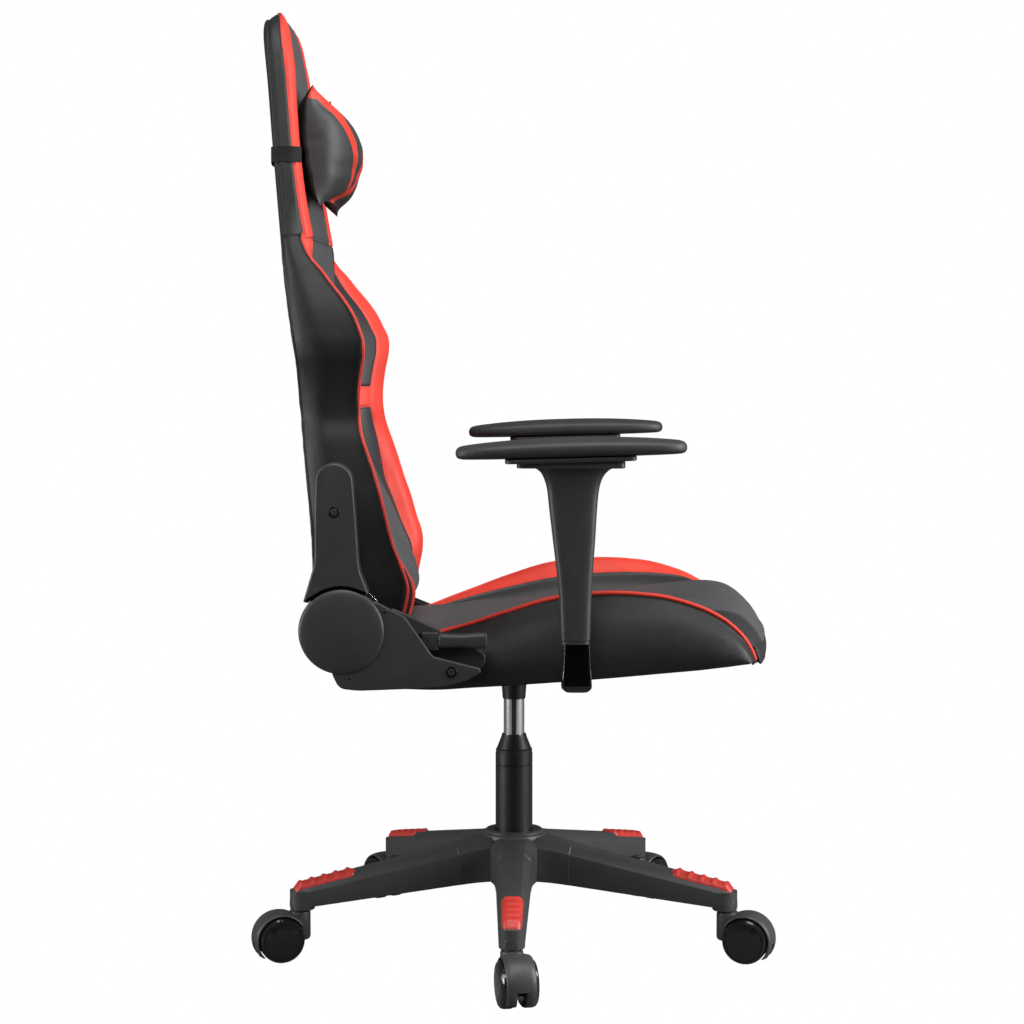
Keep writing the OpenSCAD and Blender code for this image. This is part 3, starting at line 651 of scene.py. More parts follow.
def under_cloth():
    """The cloth stapled under the frame, with an opening for the plate and notches for the arm brackets."""
    half_x, half_y = UNDER_WIDE / 2, UNDER_DEEP / 2
    xs = sorted({*np.linspace(-half_x, half_x, 27).round(1), OPENING_X, -OPENING_X, NOTCH_X, -NOTCH_X})
    ys = np.linspace(UNDER_MIDDLE - half_y, UNDER_MIDDLE + half_y, 27).round(1)
    ys = sorted({*ys, *OPENING_Y, *NOTCH_Y})
    points = []
    for y in ys:
        for x in xs:
            slack = 1.6 * (1 - (x / half_x) ** 2) * (1 - ((y - UNDER_MIDDLE) / half_y) ** 2)
            ripple = 0.4 * noise.noise(Vector((x, y, 0)) * 0.02)
            points.append(UNDER_TURN @ Vector((x, y, -4.3 - slack - ripple)) * MM)
    faces = []
    for r, y in enumerate((a + b) / 2 for a, b in zip(ys, ys[1:])):
        for c, x in enumerate((a + b) / 2 for a, b in zip(xs, xs[1:])):
            opening = abs(x) < OPENING_X and OPENING_Y[0] < y < OPENING_Y[1]
            notch = abs(x) > NOTCH_X and NOTCH_Y[0] < y < NOTCH_Y[1]
            if not (opening or notch):
                a = r * len(xs) + c
                faces.append((a, a + len(xs), a + len(xs) + 1, a + 1))
    obj = new_mesh("under_cloth", points, faces, [LINING])
    cloth = bmesh.new()
    cloth.from_mesh(obj.data)
    bmesh.ops.delete(cloth, geom=[v for v in cloth.verts if not v.link_faces], context="VERTS")
    cloth.to_mesh(obj.data)
    cloth.free()
    finish_piece(obj, "seat", ["seat_bottom_cover"])


# ---------------------------------------------------------------- hard parts

def arc(cy, cz, r, first, last):
    """Points about 5 degrees apart on an arc from one angle to another, in degrees."""
    n = max(2, int(abs(last - first) / 5) + 1)
    return [(cy + r * math.cos(math.radians(a)), cz + r * math.sin(math.radians(a)))
            for a in np.linspace(first, last, n)]


def rounded(corners, step=8):
    """An outline with its corners rounded. Each corner is (y, z, radius)."""
    out = []
    n = len(corners)
    for k in range(n):
        here = np.array(corners[k][:2], float)
        before = np.array(corners[k - 1][:2], float) - here
        after = np.array(corners[(k + 1) % n][:2], float) - here
        la, lb = np.linalg.norm(before), np.linalg.norm(after)
        a, b = before / la, after / lb
        half = math.acos(max(-1, min(1, float(a @ b)))) / 2
        if corners[k][2] < 0.1 or half > 1.55:
            out.append(tuple(here))
            continue
        cut = min(corners[k][2] / math.tan(half), 0.49 * la, 0.49 * lb)
        r = cut * math.tan(half)
        start, end = here + a * cut, here + b * cut
        middle = here + (a + b) / np.linalg.norm(a + b) * r / math.sin(half)
        pieces = max(2, int((math.pi - 2 * half) / math.radians(step)) + 1)
        u, w = start - middle, end - middle
        for f in np.linspace(0, 1, pieces + 1):
            spot = u * (1 - f) + w * f
            out.append(tuple(middle + spot / np.linalg.norm(spot) * r))
    return out


def inset(outline, d):
    """The outline moved inwards by d, point by point. The outline runs anticlockwise."""
    p = np.array(outline, float)
    edge = np.roll(p, -1, axis=0) - p
    edge /= np.linalg.norm(edge, axis=1, keepdims=True) + 1e-12
    normal = np.stack([-edge[:, 1], edge[:, 0]], axis=1)
    both = normal + np.roll(normal, 1, axis=0)
    both /= np.maximum(0.7, (both * both).sum(axis=1, keepdims=True) / 2)
    return p + both * d


def turned_area(outline):
    """An outline's area, negative where it runs clockwise."""
    p = np.array(outline, float)
    q = np.roll(p, -1, axis=0)
    return float((p[:, 0] * q[:, 1] - q[:, 0] * p[:, 1]).sum() / 2)


def rings_mesh(name, rings, look, degrees=38):
    """A closed solid through rings that have the same number of points, in millimetres."""
    points, faces = capped(rings)
    obj = new_mesh(name, points * MM, faces, [look])
    clean(obj)
    obj.data.set_sharp_from_angle(angle=math.radians(degrees))
    return obj


def plate(name, outline, x0, x1, soft, look, side=1, both_edges=False):
    """A moulded plate from a side outline (Y, Z), from x0 out to x1, its outer edge rounded by soft."""
    if turned_area(outline) < 0:
        outline = outline[::-1]
    turns = [math.radians(a) for a in np.linspace(0, 90, 6)]
    edge = [(inset(outline, soft * (1 - math.cos(a))), soft * (1 - math.sin(a))) for a in turns]
    rings = [(ring, x0 + back) for ring, back in edge[::-1]] if both_edges else [(outline, x0)]
    rings += [(ring, x1 - back) for ring, back in edge]
    return rings_mesh(name, [[(side * x, y, z) for y, z in ring] for ring, x in rings], look)


def lathe(name, profile, place, look, steps=72, degrees=30):
    """A solid of revolution. profile is (radius, height), and place turns it from its own Z axis."""
    angles = np.arange(steps) * 2 * math.pi / steps
    rings = [[place @ Vector((r * math.cos(a), r * math.sin(a), h)) for a in angles] for r, h in profile]
    return rings_mesh(name, rings, look, degrees)


def joined(name, parts):
    """Several meshes as one new piece, in which each face keeps its look."""
    mesh = bmesh.new()
    looks = []
    for part in parts:
        first = len(mesh.faces)
        mesh.from_mesh(part.data)
        mesh.faces.ensure_lookup_table()
        own = list(part.data.materials)
        for look in own:
            if look not in looks:
                looks.append(look)
        for face in mesh.faces[first:]:
            face.material_index = looks.index(own[min(face.material_index, len(own) - 1)])
    data = bpy.data.meshes.new(name)
    mesh.to_mesh(data)
    mesh.free()
    for look in looks:
        data.materials.append(look)
    for part in parts:
        bpy.data.objects.remove(part)
    obj = bpy.data.objects.new(name, data)
    bpy.context.scene.collection.objects.link(obj)
    return obj


def across(x, y, z, side):
    """Places a lathed part with its axis along X, facing outwards."""
    return Matrix.Translation((side * x, y, z)) @ Matrix.Rotation(side * math.pi / 2, 4, "Y")


def socket_screw(name, x, y, z, body, side):
    """A countersunk socket screw in a dished recess, on the face of a cover."""
    r = 5.2
    dish = [(0.1, -1.0), (r + 1.6, -1.0), (r + 1.6, 0.4), (r + 1.2, 0.9), (r + 0.5, 0.9), (r, 0.2),
            (r - 0.3, -0.5), (0.1, -0.5)]
    head = [(0.1, -0.6), (r - 1.2, -0.6), (r - 1.2, 0.15), (r - 1.7, 0.5), (r * 0.5, 0.55), (r * 0.46, -0.3),
            (0.1, -0.3)]
    place = across(x, y, z, side)
    parts = [lathe(f"{name}_dish", dish, place, GLOSS_STEEL, 40),
             lathe(f"{name}_head", head, place, COVER, 36)]
    finish_piece(joined(name, parts), body)


HINGE = (209, 461)
DISC = 53


def hinge_covers(name, side):
    """The round cap over the hinge, the long cover on the back and the two-layer cover on the seat."""
    dome = [(0.1, 285), (DISC - 3, 285), (DISC, 286), (DISC, 295.5), (DISC - 0.6, 297.2), (DISC - 2, 298.6),
            (DISC - 5, 299.7), (44, 300.6), (36, 301.5), (26, 302.3), (14, 302.9), (6, 303.2), (0.1, 303.3)]
    cap = lathe(f"hinge_cap_{name}", dome, across(0, *HINGE, side), COVER, 96)
    finish_piece(cap, "seat", [f"disc_cover_{name}"])

    upper = rounded([(175, 507, 1.5), (187, 538, 60), (190.5, 600, 120), (196, 667, 24), (239, 668, 26),
                     (241, 600, 120), (241.5, 545, 45), (256, 496.5, 1.5)]) + arc(*HINGE, 53.4, 41, 124)
    finish_piece(plate(f"back_bracket_cover_{name}", upper, 272, 298, 3.0, COVER, side),
                 "back", [f"upper_cover_{name}"])
    socket_screw(f"cover_screw_{name}", 298, 217, 608, "back", side)

    foot = [(37, 411, 3), (56, 400, 20), (80, 393, 40), (110, 390.5, 60), (188, 387.5, 60), (212, 390, 14),
            (221, 408, 20)]
    if side < 0:
        outer = [(221, 470, 20), (200, 500, 20), (165, 497, 6), (131, 479, 12), (112, 452, 10),
                 (97, 430.5, 6), (60, 421, 60), (40, 416, 3)]
        inner = [(33, 420, 3), (40, 411, 6), (60, 401, 20), (101, 392, 40), (150, 390, 5), (150, 488, 3),
                 (131, 480, 12), (88, 459.5, 2), (87, 441, 2), (60, 439.5, 10), (44, 437.5, 8), (33, 429, 5)]
    else:
        outer = [(221, 450, 10), (190, 459, 10), (165, 446, 10), (147, 437, 20), (125, 428, 20),
                 (97, 422, 20), (60, 419, 20), (40, 416, 3)]
        inner = [(37, 412, 3), (60, 401, 20), (101, 392, 40), (150, 390, 5), (150, 437, 3), (125, 427.5, 20),
                 (97, 421.5, 20), (60, 418.5, 20), (42, 416, 3)]
    rim = [(41, 412, 1), (56, 401, 20), (80, 394, 40), (110, 391, 60), (188, 388.5, 60), (210, 391, 8),
           (208, 396, 2), (187, 393, 50), (110, 396, 50), (82, 399.5, 30), (58, 407, 20), (44, 415, 1)]
    shells = [plate(f"lower_outer_{name}", rounded(foot + outer), 291.5, 296.5, 2.0, COVER, side),
              plate(f"lower_inner_{name}", rounded(inner), 268, 275, 2.0, COVER, side),
              plate(f"lower_rim_{name}", rounded(rim), 270, 293, 0.8, COVER, side)]
    lower = joined(f"seat_bracket_cover_{name}", shells)
    finish_piece(lower, "seat", [f"lower_cover_{name}"])
    socket_screw(f"seat_cover_screw_{name}", 296.9, 74, 411, "seat", side)
    stop = plate(f"hinge_stop_{name}", [(182.5, 511), (166.5, 496), (164.5, 498.2), (180.5, 513.2)],
                 266, 290, 0.5, CHROME, side)
    finish_piece(stop, "seat")
    for tag, y, z in (("a", 155, 486), ("b", 199, 404))[0 if side < 0 else 1:]:
        pin = lathe(f"cover_pin_{tag}_{name}", [(0.1, -1), (2.2, -1), (2.2, 0.3), (1.8, 0.7), (0.1, 0.9)],
                    across(296.8, y, z, side), STEEL, 24)
        finish_piece(pin, "seat")


def recline_handle():
    """The lever on the sitter's right: a square neck and a waisted grip, on an arm from its boss."""
    side = -1
    hinge_y, hinge_z = HINGE
    neck = plate("lever_neck", rounded([(111, 459, 1), (90.5, 459, 1), (90.5, 437, 1), (111, 437, 1)]),
                 278.5, 291, 1.2, COVER, side, True)
    rings = []
    for f in [0, 0.015, 0.04, *np.linspace(0.1, 0.9, 17), 0.955, 0.985, 1]:
        end = 1 - 0.16 * max(0.0, 1 - min(f, 1 - f) / 0.04) ** 2
        tall = (9.6 - 1.5 * math.sin(math.pi * min(1, f * 1.2)) + 0.5 * f) * end
        section = box_ring(side * 284.5, 448.5, 0, 8.1 * end, tall, 3.4)
        rings.append([(x, 90 - 59.5 * f, z) for x, z, _ in section])
    grip = rings_mesh("lever_grip", rings, COVER)
    edge = [(hinge_y - 10, hinge_z + 13), (111.5, 457), (111.5, 441), (hinge_y - 10, hinge_z - 13)]
    arm = plate("lever_arm", edge, 279.5, 283, 0.6, STEEL, side, True)
    boss = lathe("lever_boss", [(8.1, 279.5), (16, 279.5), (16, 283), (8.1, 283)], across(0, *HINGE, side),
                 STEEL, 48)
    finish_piece(joined("recline_handle", [neck, grip, arm, boss]),
                 "recline_lever", ["recline_lever"])


def signed_power(value, power):
    """The value's size raised to 2 / power, with its own sign."""
    return math.copysign(abs(value) ** (2 / power), value)


def box_ring(cx, cy, z, hx, hy, power=3.6, n=40):
    """A rounded rectangle at one height, as a superellipse."""
    angles = np.arange(n) * 2 * math.pi / n
    return [(cx + hx * signed_power(math.cos(a), power), cy + hy * signed_power(math.sin(a), power), z)
            for a in angles]


ARM_X = 295
PAD_MID_Y = -72
PAD_TOP = 699
PAD_TILT = math.radians(1.6)
POST_FRONT = [(450, -96), (513, -98), (574, -102), (612, -104.2), (635, -106.5), (648, -110), (656, -115),
              (661, -121), (663, -126)]
POST_REAR = [(450, -60), (513, -57), (574, -50), (612, -45.5), (635, -43), (648, -39.5), (656, -35.5),
             (661, -30), (663, -26)]
POST_HALF = [(450, 13), (540, 14.2), (620, 15.6), (650, 17.5), (663, 20.5)]
BRACKET_X = ARM_X + 2
BRACKET_LINE = [(BRACKET_X, 484), (BRACKET_X, 450), (BRACKET_X, 420), (BRACKET_X, 400), (ARM_X + 0.5, 393),
                (ARM_X - 5, 388.5), (ARM_X - 14, 387.2), (ARM_X - 35, 387.2), (250, 387.2), (240, 387.8),
                (232, 391), (226, 395.5), (218, 397.2), (190, 397.4), (152, 397.4)]
BRACKET_HALF = [(0, 15), (1, 15.5), (2, 16.6), (3, 18), (4, 18.2), (4.6, 16.5), (5.3, 14), (6.2, 15.5),
                (7, 18.5), (8, 19), (14, 19)]


def on_pad(side, x, y, h):
    """A point given along, across and above an arm pad, which is tilted a little."""
    return (side * ARM_X + x, PAD_MID_Y + y * math.cos(PAD_TILT) + h * math.sin(PAD_TILT),
            PAD_TOP - y * math.sin(PAD_TILT) + h * math.cos(PAD_TILT))


def arm_post(name, side):
    """The tapered post and the collar at its foot."""
    rings = []
    for z in [450, 451.5, *np.linspace(458, 630, 22), *np.linspace(636, 662.9, 14)]:
        front, rear = follow(POST_FRONT, z), follow(POST_REAR, z)
        shrink = 1.2 if z == 450 else 0
        rings.append(box_ring(side * ARM_X, (front + rear) / 2, z, follow(POST_HALF, z) - shrink,
                              (rear - front) / 2 - shrink))
    post = rings_mesh(f"post_{name}", rings, COVER)
    ends = [box_ring(side * ARM_X, -78, z, 12.2, 17) for z in (446.5, 450.5)]
    obj = joined(f"armrest_post_{name}", [post, rings_mesh(f"collar_{name}", ends, COVER)])
    finish_piece(obj, "seat", [f"arm_post_{name}"])


def arm_bracket(name, side):
    """The flat steel bar that turns under the seat and carries the post."""
    t = np.linspace(0, len(BRACKET_LINE) - 1, 90)
    line = catmull(BRACKET_LINE, t)
    run = np.gradient(line, axis=0)
    run /= np.linalg.norm(run, axis=1, keepdims=True)
    rings = []
    for k, (x, z) in enumerate(line):
        half = follow(BRACKET_HALF, t[k]) - 0.9 * (k in (0, len(line) - 1))
        rings.append([(side * (x - run[k][1] * h), -80 + w, z + run[k][0] * h)
                      for w, h, _ in box_ring(0, 0, 0, half, 3.3, 4.5, 28)])
    finish_piece(rings_mesh(f"armrest_bracket_{name}", rings, GLOSS_STEEL),
                 "seat", [f"arm_bracket_{name}"])


def arm_pad(name, side):
    """The soft pad: a crowned top that falls to both ends, over a nearly flat base."""
    half_long, half_wide, thick = 141, 41, 24
    around = np.arange(56) * 2 * math.pi / 56
    rings = []
    for a in np.linspace(-90, 90, 61):
        q = math.sin(math.radians(a))
        plan = max(0.0, 1 - abs(q) ** 3.4) ** (1 / 3.4)
        end = max(0.0, 1 - abs(q) ** 44) ** 0.45
        top = -7.5 * abs(q) ** 2.3
        base = -thick + 1.0 * abs(q) ** 3
        high = (top - base) / 2 * end + 0.01
        rings.append([on_pad(side, half_wide * plan * signed_power(math.cos(b), 2.7), half_long * q,
                             (top + base) / 2 + high * signed_power(math.sin(b), 3.0)) for b in around])
    obj = rings_mesh(f"armrest_pad_{name}", rings, PAD, 60)
    finish_piece(obj, "seat", [f"arm_pad_{name}"])


def armrest_plates():
    """The two stacked plates under each pad."""
    parts = []
    for side in (1, -1):
        low = [box_ring(side * ARM_X, PAD_MID_Y, z, 27 - e, 66 - e, 9, 64)
               for z, e in ((662.6, 0.8), (663.4, 0), (670, 0), (671, 0.6))]
        high = [[on_pad(side, *spot) for spot in box_ring(0, 1, h, 32 - e, 80 - e, 9, 64)]
                for h, e in ((-29, 1), (-28.2, 0.1), (-24.4, 0), (-23.6, 0.5))]
        parts += [rings_mesh(f"low{side}", low, COVER), rings_mesh(f"high{side}", high, COVER)]
    finish_piece(joined("armrest_plates", parts), "seat", ["arm_plates"])


# ---------------------------------------------------------------- base and castors

ARMS = 5
CASTOR_R = 297
TRAIL = 27
WHEEL_R = 30
HUB_R = 43
NOSE_R = 290
ARM_END = 309
FRONT_CASTOR_TURN = 13


# An arm's direction by its number, and its top, foot and half width at a distance from the hub's axis.
def arm_turn(i):
    return Matrix.Rotation(math.radians(180 + 360 / ARMS * i), 4, "Z")


def arm_top(r):
    return 148.5 - (r - 40) * 0.19


def arm_foot(r):
    return 92 - (r - 40) * 0.084


def arm_half(r):
    return 24.5 - (r - 40) * 0.0315 + 9 * math.exp(-((r - 30) / 22) ** 2)


def nose_share(r):
    """How far along its last, falling stretch an arm is at radius r."""
    return max(0.0, (r - NOSE_R) / (ARM_END - NOSE_R))


def nose_width(r):
    return math.sqrt(1 - 0.85 * nose_share(r) ** 2)


def star():
    """The five-arm base: arms with two chamfers, blended into the hub, and the castor bosses."""
    hub = [(25.4, 91), (HUB_R - 5, 91), (HUB_R - 2, 93), (HUB_R, 96), (HUB_R, 147), (HUB_R - 0.6, 150),
           (HUB_R - 1.5, 151.4), (HUB_R - 3.4, 152), (HUB_R - 4.2, 152.8), (HUB_R - 4.4, 155),
           (HUB_R - 5.4, 156), (27.5, 156), (26, 155.4), (25.4, 154)]
    boss = [(5.7, 66.5), (15.3, 66.5), (16.4, 67.6), (16.6, 74), (16.6, 92), (5.7, 92)]
    stations = [26, 34, 42, 50, 60, 72, 83.5, 84.5, 85.5, 100, 130, 160, 190, 220, 250, 275, NOSE_R, 296, 300,
                303, 305.5, 307.5, 308.6, ARM_END]
    parts = [lathe("hub", hub, Matrix.Identity(4), BASE, 120)]
    for i in range(ARMS):
        turn = arm_turn(i)
        rings = []
        for r in stations:
            grow = 0.5 if r < 84.6 else 0
            w = (arm_half(r) + grow) * nose_width(r)
            top = arm_top(r) + grow - 12 * nose_share(r) ** 3
            half = [(w, arm_foot(r), 1.2), (w, top - 10, 3), (w * 0.58, top, 3)]
            section = [(-w, arm_foot(r), 1.2), *half, (-w * 0.58, top, 3), (-w, top - 10, 3)]
            rings.append([turn @ Vector((r, y, z)) for y, z in rounded(section, 30)])
        parts.append(rings_mesh(f"arm{i}", rings, BASE, 25))
        parts.append(lathe(f"boss{i}", boss, turn @ Matrix.Translation((CASTOR_R - 4, 0, 0)), BASE, 48))
    finish_piece(joined("star_base_moulding", parts), "base", ["star_base"])


def grips():
    """Ribbed red grips over the arms' ends. They narrow and thin out towards the hub."""
    parts = []
    first, last, ribs = 222, 304, 5
    for i in range(ARMS):
        turn = arm_turn(i)
        rings = []
        for r in np.linspace(first, last, 66):
            f = (r - first) / (last - first)
            edge = min(1.0, 16 * min(f, 1 - f))
            bump = 2.2 * max(0.0, math.cos(2 * math.pi * (f * ribs - 0.5))) ** 1.3 * edge
            skin = 0.3 + 1.3 * edge
            w = arm_half(r) * nose_width(r) * (1 - 0.2 * (1 - min(1.0, 8 * f)) ** 2)
            top = arm_top(r) - 12 * nose_share(r) ** 3
            outer = [(w * 0.76, top - 7.5), (w * 0.77, top - 4.8 + skin * 0.3),
                     (w * 0.72, top - 3.2 + skin + bump * 0.3), (w * 0.6, top - 1.0 + skin + bump * 0.8),
                     (w * 0.5, top + skin + bump), (w * 0.25, top + 0.3 + skin + bump),
                     (0, top + 0.3 + skin + bump)]
            loop = outer + [(-y, z) for y, z in outer[-2::-1]]
            rings.append([turn @ Vector((r, y, z)) for y, z in loop])
        parts.append(rings_mesh(f"grip{i}", rings, FOOT_RED, 50))
    finish_piece(joined("arm_grips", parts), "base", ["foot_grips"])


def circle_point(r, degrees):
    """The point at an angle on a circle, as (across, up)."""
    return r * math.cos(math.radians(degrees)), r * math.sin(math.radians(degrees))


def castor(i):
    """A twin-wheel castor's hood: a crown over the wheels, a web between them and the stem's housing."""
    swivel = FRONT_CASTOR_TURN if i == 0 else 0
    turn = arm_turn(i) @ Matrix.Translation((CASTOR_R, 0, 0)) @ Matrix.Rotation(math.radians(swivel), 4, "Z")
    axle = Vector((TRAIL, 0, WHEEL_R))
    edge = [(12, 35.6), (17, 34.4), (18.8, 33), (19, 32)]
    crown = [(5, 36.2), *edge, (18.2, 31.5)]
    shell = [(-y, q) for y, q in reversed(crown)] + [(0, 36.3)] + crown + [(0, 31.4)]
    left_leg = [(6, 31.5), (6, 34.8), (8, 35.6), *edge, (18.2, 31.4), (12, 31.3)]
    right_leg = [(-y, q) for y, q in reversed(left_leg)]
    parts = []
    for tag, section, first, last in (("top", shell, -4, 150), ("left", left_leg, -43, -2),
                                      ("right", right_leg, -43, -2)):
        rings = []
        for a in np.linspace(first, last, max(8, int((last - first) / 3.5))):
            thin = 0.55 + 0.45 * max(0.0, min(1.0, (a + 43) / 8, (150 - a) / 6))
            spots = [(y, circle_point(31.3 + (q - 31.3) * thin, a)) for y, q in section]
            rings.append([turn @ (axle + Vector((u, y, v))) for y, (u, v) in spots])
        parts.append(rings_mesh(f"hood_{tag}{i}", rings, BASE, 45))
    web_line = [circle_point(31.9, a) for a in np.linspace(-2, 178, 36)]
    web_line += [(-31.5, -6), (-20, -14), (-6, -16.5), (6, -15), (16, -9)]
    web = [[turn @ (axle + Vector((u * scale, y, v * scale))) for u, v in web_line]
           for y, scale in ((-3.4, 1 - 0.5 / 32), (-2.9, 1), (2.9, 1), (3.4, 1 - 0.5 / 32))]
    parts.append(rings_mesh(f"hood_web{i}", web, BASE))
    stem = [(0.1, 27), (11.5, 27), (13.6, 28.4), (14.5, 31), (14.5, 62), (13.8, 64.2), (12, 65), (11, 65.2),
            (11, 66.3), (5.7, 66.3), (5.7, 60), (0.1, 60)]
    parts.append(lathe(f"hood_stem{i}", stem, turn, BASE, 48))
    number = i + 1
    obj = joined(f"castor_hood_{number}", parts)
    finish_piece(obj, f"castor_{number}", [f"castor_{number}_hood"])


# ---------------------------------------------------------------- pillow and its strap

PILLOW_HALF = 144
PILLOW_LOW = 985
PILLOW_HIGH = 1142
PILLOW_BACK = [(985, 246), (997, 255), (1032, 265), (1060, 269), (1083, 270), (1120, 265), (1142, 254)]
PILLOW_FRONT = [(985, 246), (1000, 221), (1018, 213), (1034, 209.5), (1054, 204.5), (1080, 207), (1107, 219),
                (1130, 240), (1142, 253)]
BAND_LINE = [(985, 0), (1000, 14), (1030, 42), (1054, 64), (1090, 91), (1130, 119), (1145, 132)]
BAND_COLUMNS = (9, 17)
STRAP_Z = 1049


def swell(obj, cap=0.005):
    """Blows a sewn piece up as cloth, and keeps each point within the cap of where it was sewn."""
    start = np.array([v.co[:] for v in obj.data.vertices])
    cloth = obj.modifiers.new("swell", "CLOTH")
    settings = {"quality": 6, "mass": 0.25, "tension_stiffness": 12, "compression_stiffness": 12,
                "shear_stiffness": 4, "bending_stiffness": 0.35, "use_pressure": True,
                "uniform_pressure_force": 4}
    for key, value in settings.items():
        setattr(cloth.settings, key, value)
    cloth.settings.effector_weights.gravity = 0
    cloth.collision_settings.use_collision = False
    scene = bpy.context.scene
    for step in range(1, 21):
        scene.frame_set(step)
    graph = bpy.context.evaluated_depsgraph_get()
    shift = np.array([v.co[:] for v in obj.evaluated_get(graph).data.vertices]) - start
    obj.modifiers.clear()
    scene.frame_set(1)
    far = np.linalg.norm(shift, axis=1, keepdims=True)
    shift *= np.minimum(1, cap / (far + 1e-9))
    for v, spot in zip(obj.data.vertices, start + shift):
        v.co = spot


def band_columns(z, count=31):
    """Where a row's columns lie, from the middle (0) to the end (1), so that they follow the red band."""
    at = follow(BAND_LINE, z)
    inner = max(5.0, at - 19)
    outer = min(PILLOW_HALF - 5.0, max(inner + 20, at + 19))
    x = np.interp(np.arange(count), [0, *BAND_COLUMNS, count - 1], [0, inner, outer, PILLOW_HALF])
    return x / PILLOW_HALF


def pillow():
    """Two panels sewn round the edge, with drawn-in corners and two red bands that meet low in the middle."""
    rows = 35
    tall = PILLOW_HIGH - PILLOW_LOW
    levels = np.linspace(0, 1, rows)
    front, back = [], []
    for v in levels:
        even_z = PILLOW_LOW + tall * v
        half = band_columns(even_z)
        back_y = follow(PILLOW_BACK, even_z)
        front_y = follow(PILLOW_FRONT, even_z)
        for u in [*(-half[:0:-1]), *half]:
            corner = abs(2 * v - 1) ** 4 * abs(u) ** 4
            edge_pull = 4 * (1 - (2 * v - 1) ** 2) * u * abs(u) ** 3
            ends = abs(u) ** 2.6
            low = PILLOW_LOW + 7 * (1 - ends) - 2 * corner
            high = PILLOW_HIGH - 5 * (1 - ends) + 3 * corner
            x = PILLOW_HALF * u * (1 - 0.05 * corner) - edge_pull
            z = low + (high - low) * v
            seam_y = back_y - 3 * (1 - ends)
            plump = max(0.0, 1 - abs(u) ** 4.2) ** 0.5 * max(0.0, 1 - abs(2 * v - 1) ** 5) ** 0.5
            under_strap = 0.75 * math.exp(-((z - STRAP_Z) / 16) ** 2) * (abs(u) > 0.5)
            front.append((x, seam_y - 1.2 - (seam_y - front_y - 6) * plump, z))
            back.append((x, seam_y + min(9 * plump * (1 - under_strap), 5), z))
    n = len(front) // rows
    points = np.array(front + back)
    folds = [noise.noise(Vector((x * 0.018 + z * 0.03, z * 0.06, 3.7 + 0.01 * y))) for x, y, z in points]
    creases = [noise.noise(Vector((x * 0.02 + z * 0.05, z * 0.11, 9.1))) for x, y, z in points]
    points[:, 1] -= 1.6 * np.array(folds) + 3.5 * np.maximum(0, creases) ** 2

    first, last = BAND_COLUMNS
    m = len(front)
    corners = [r * n + c for r in range(rows - 1) for c in range(n - 1)]
    faces = [(a, a + 1, a + n + 1, a + n) for a in corners]
    faces += [(m + a, m + a + n, m + a + n + 1, m + a + 1) for a in corners]
    grey, red, black = range(3)
    kinds = []
    for v in levels[:-1]:
        meeting = follow(BAND_LINE, PILLOW_LOW + tall * v) < 18
        for c in range(n - 1):
            k = abs(c + 0.5 - (n - 1) / 2)
            banded = first < k < last or (meeting and k < first) or (k > first and v > 0.87)
            kinds.append(red if banded else grey)
    top = [(rows - 1) * n + k for k in reversed(range(n))]
    ends = [[r * n + k for r in range(1, rows - 1)] for k in (n - 1, 0)]
    rim = [*range(n), *ends[0], *top, *reversed(ends[1])]
    faces += [(a, m + a, m + b, b) for a, b in zip(rim, rim[1:] + rim[:1])]
    # Painted shade: the back panel, which lies in shadow, gets the black leather, and so does the sewn rim.
    kinds += [black] * (len(faces) - len(kinds))
    obj = new_mesh("pillow", points * MM, faces, [PILLOW_GREY, RED, BLACK], kinds)
    clean(obj)
    swell(obj)
    subdivided(obj)
    finish_piece(obj, "pillow", ["head_pillow"])


def strap():
    """The pillow's elastic strap: a flat woven band round the back."""
    low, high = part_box("head_strap")
    rear_y = high[1] / MM - 3.0
    side_x = high[0] / MM - 1.8
    front_y = low[1] / MM + 1
    half = [(side_x - 14, front_y, 0), (side_x, front_y + 10, 8), (side_x - 1, rear_y - 15, 8),
            (177, rear_y - 7, 14), (115, rear_y - 1.3, 80), (0, rear_y, 300)]
    line = np.array(rounded(half + [(-x, y, r) for x, y, r in half[-2::-1]], 12))
    run = np.gradient(line, axis=0)
    run /= np.linalg.norm(run, axis=1, keepdims=True)
    section = [(-0.8, -9.6), (0.8, -9.6), (1.0, -9), (0.8, -8.2), (0.8, 8.2), (1.0, 9), (0.8, 9.6),
               (-0.8, 9.6), (-0.8, 0)]
    rings = [[(x + ty * out, y - tx * out, STRAP_Z + up) for out, up in section]
             for (x, y), (tx, ty) in zip(line, run)]
    finish_piece(rings_mesh("pillow_strap", rings, CLOTH, 50), "pillow", ["head_strap"])


# ---------------------------------------------------------------- scene: camera, light and floor

CAMERA_PLACE = (-3.2801, -0.0307, 0.8369)
CAMERA_LENS = 86.24
CAMERA_TURN = 0.0102
CAMERA_DOWN = 0.0765

# Each light's place, what it points at, its width, its height and its power. Lengths are in metres.
LIGHTS = {
    "front": ((-0.7, -2.7, 1.6), (0, 0, 0.7), 1.2, 2.2, 120),
    "rear": ((-0.9, 2.7, 1.5), (0, 0, 0.7), 1.0, 2.2, 40),
    "top": ((-0.9, -0.4, 3.0), (0, 0, 0.5), 1.8, 1.8, 50),
    "above_camera": ((-2.3, 0.5, 2.5), (0, 0, 0.3), 0.9, 0.9, 18),
    "low_front": ((-0.7, -2.4, 0.42), (0, 0, 0.12), 1.0, 0.5, 7),
    "low_rear": ((-0.7, 2.4, 0.42), (0, 0, 0.12), 1.0, 0.5, 18),
}


def aimed(obj, place, ahead):
    """Puts a camera or a light in the scene, looking along a direction."""
    obj.location = place
    obj.rotation_mode = "QUATERNION"
    obj.rotation_quaternion = ahead.to_track_quat("-Z", "Y")
    bpy.context.scene.collection.objects.link(obj)


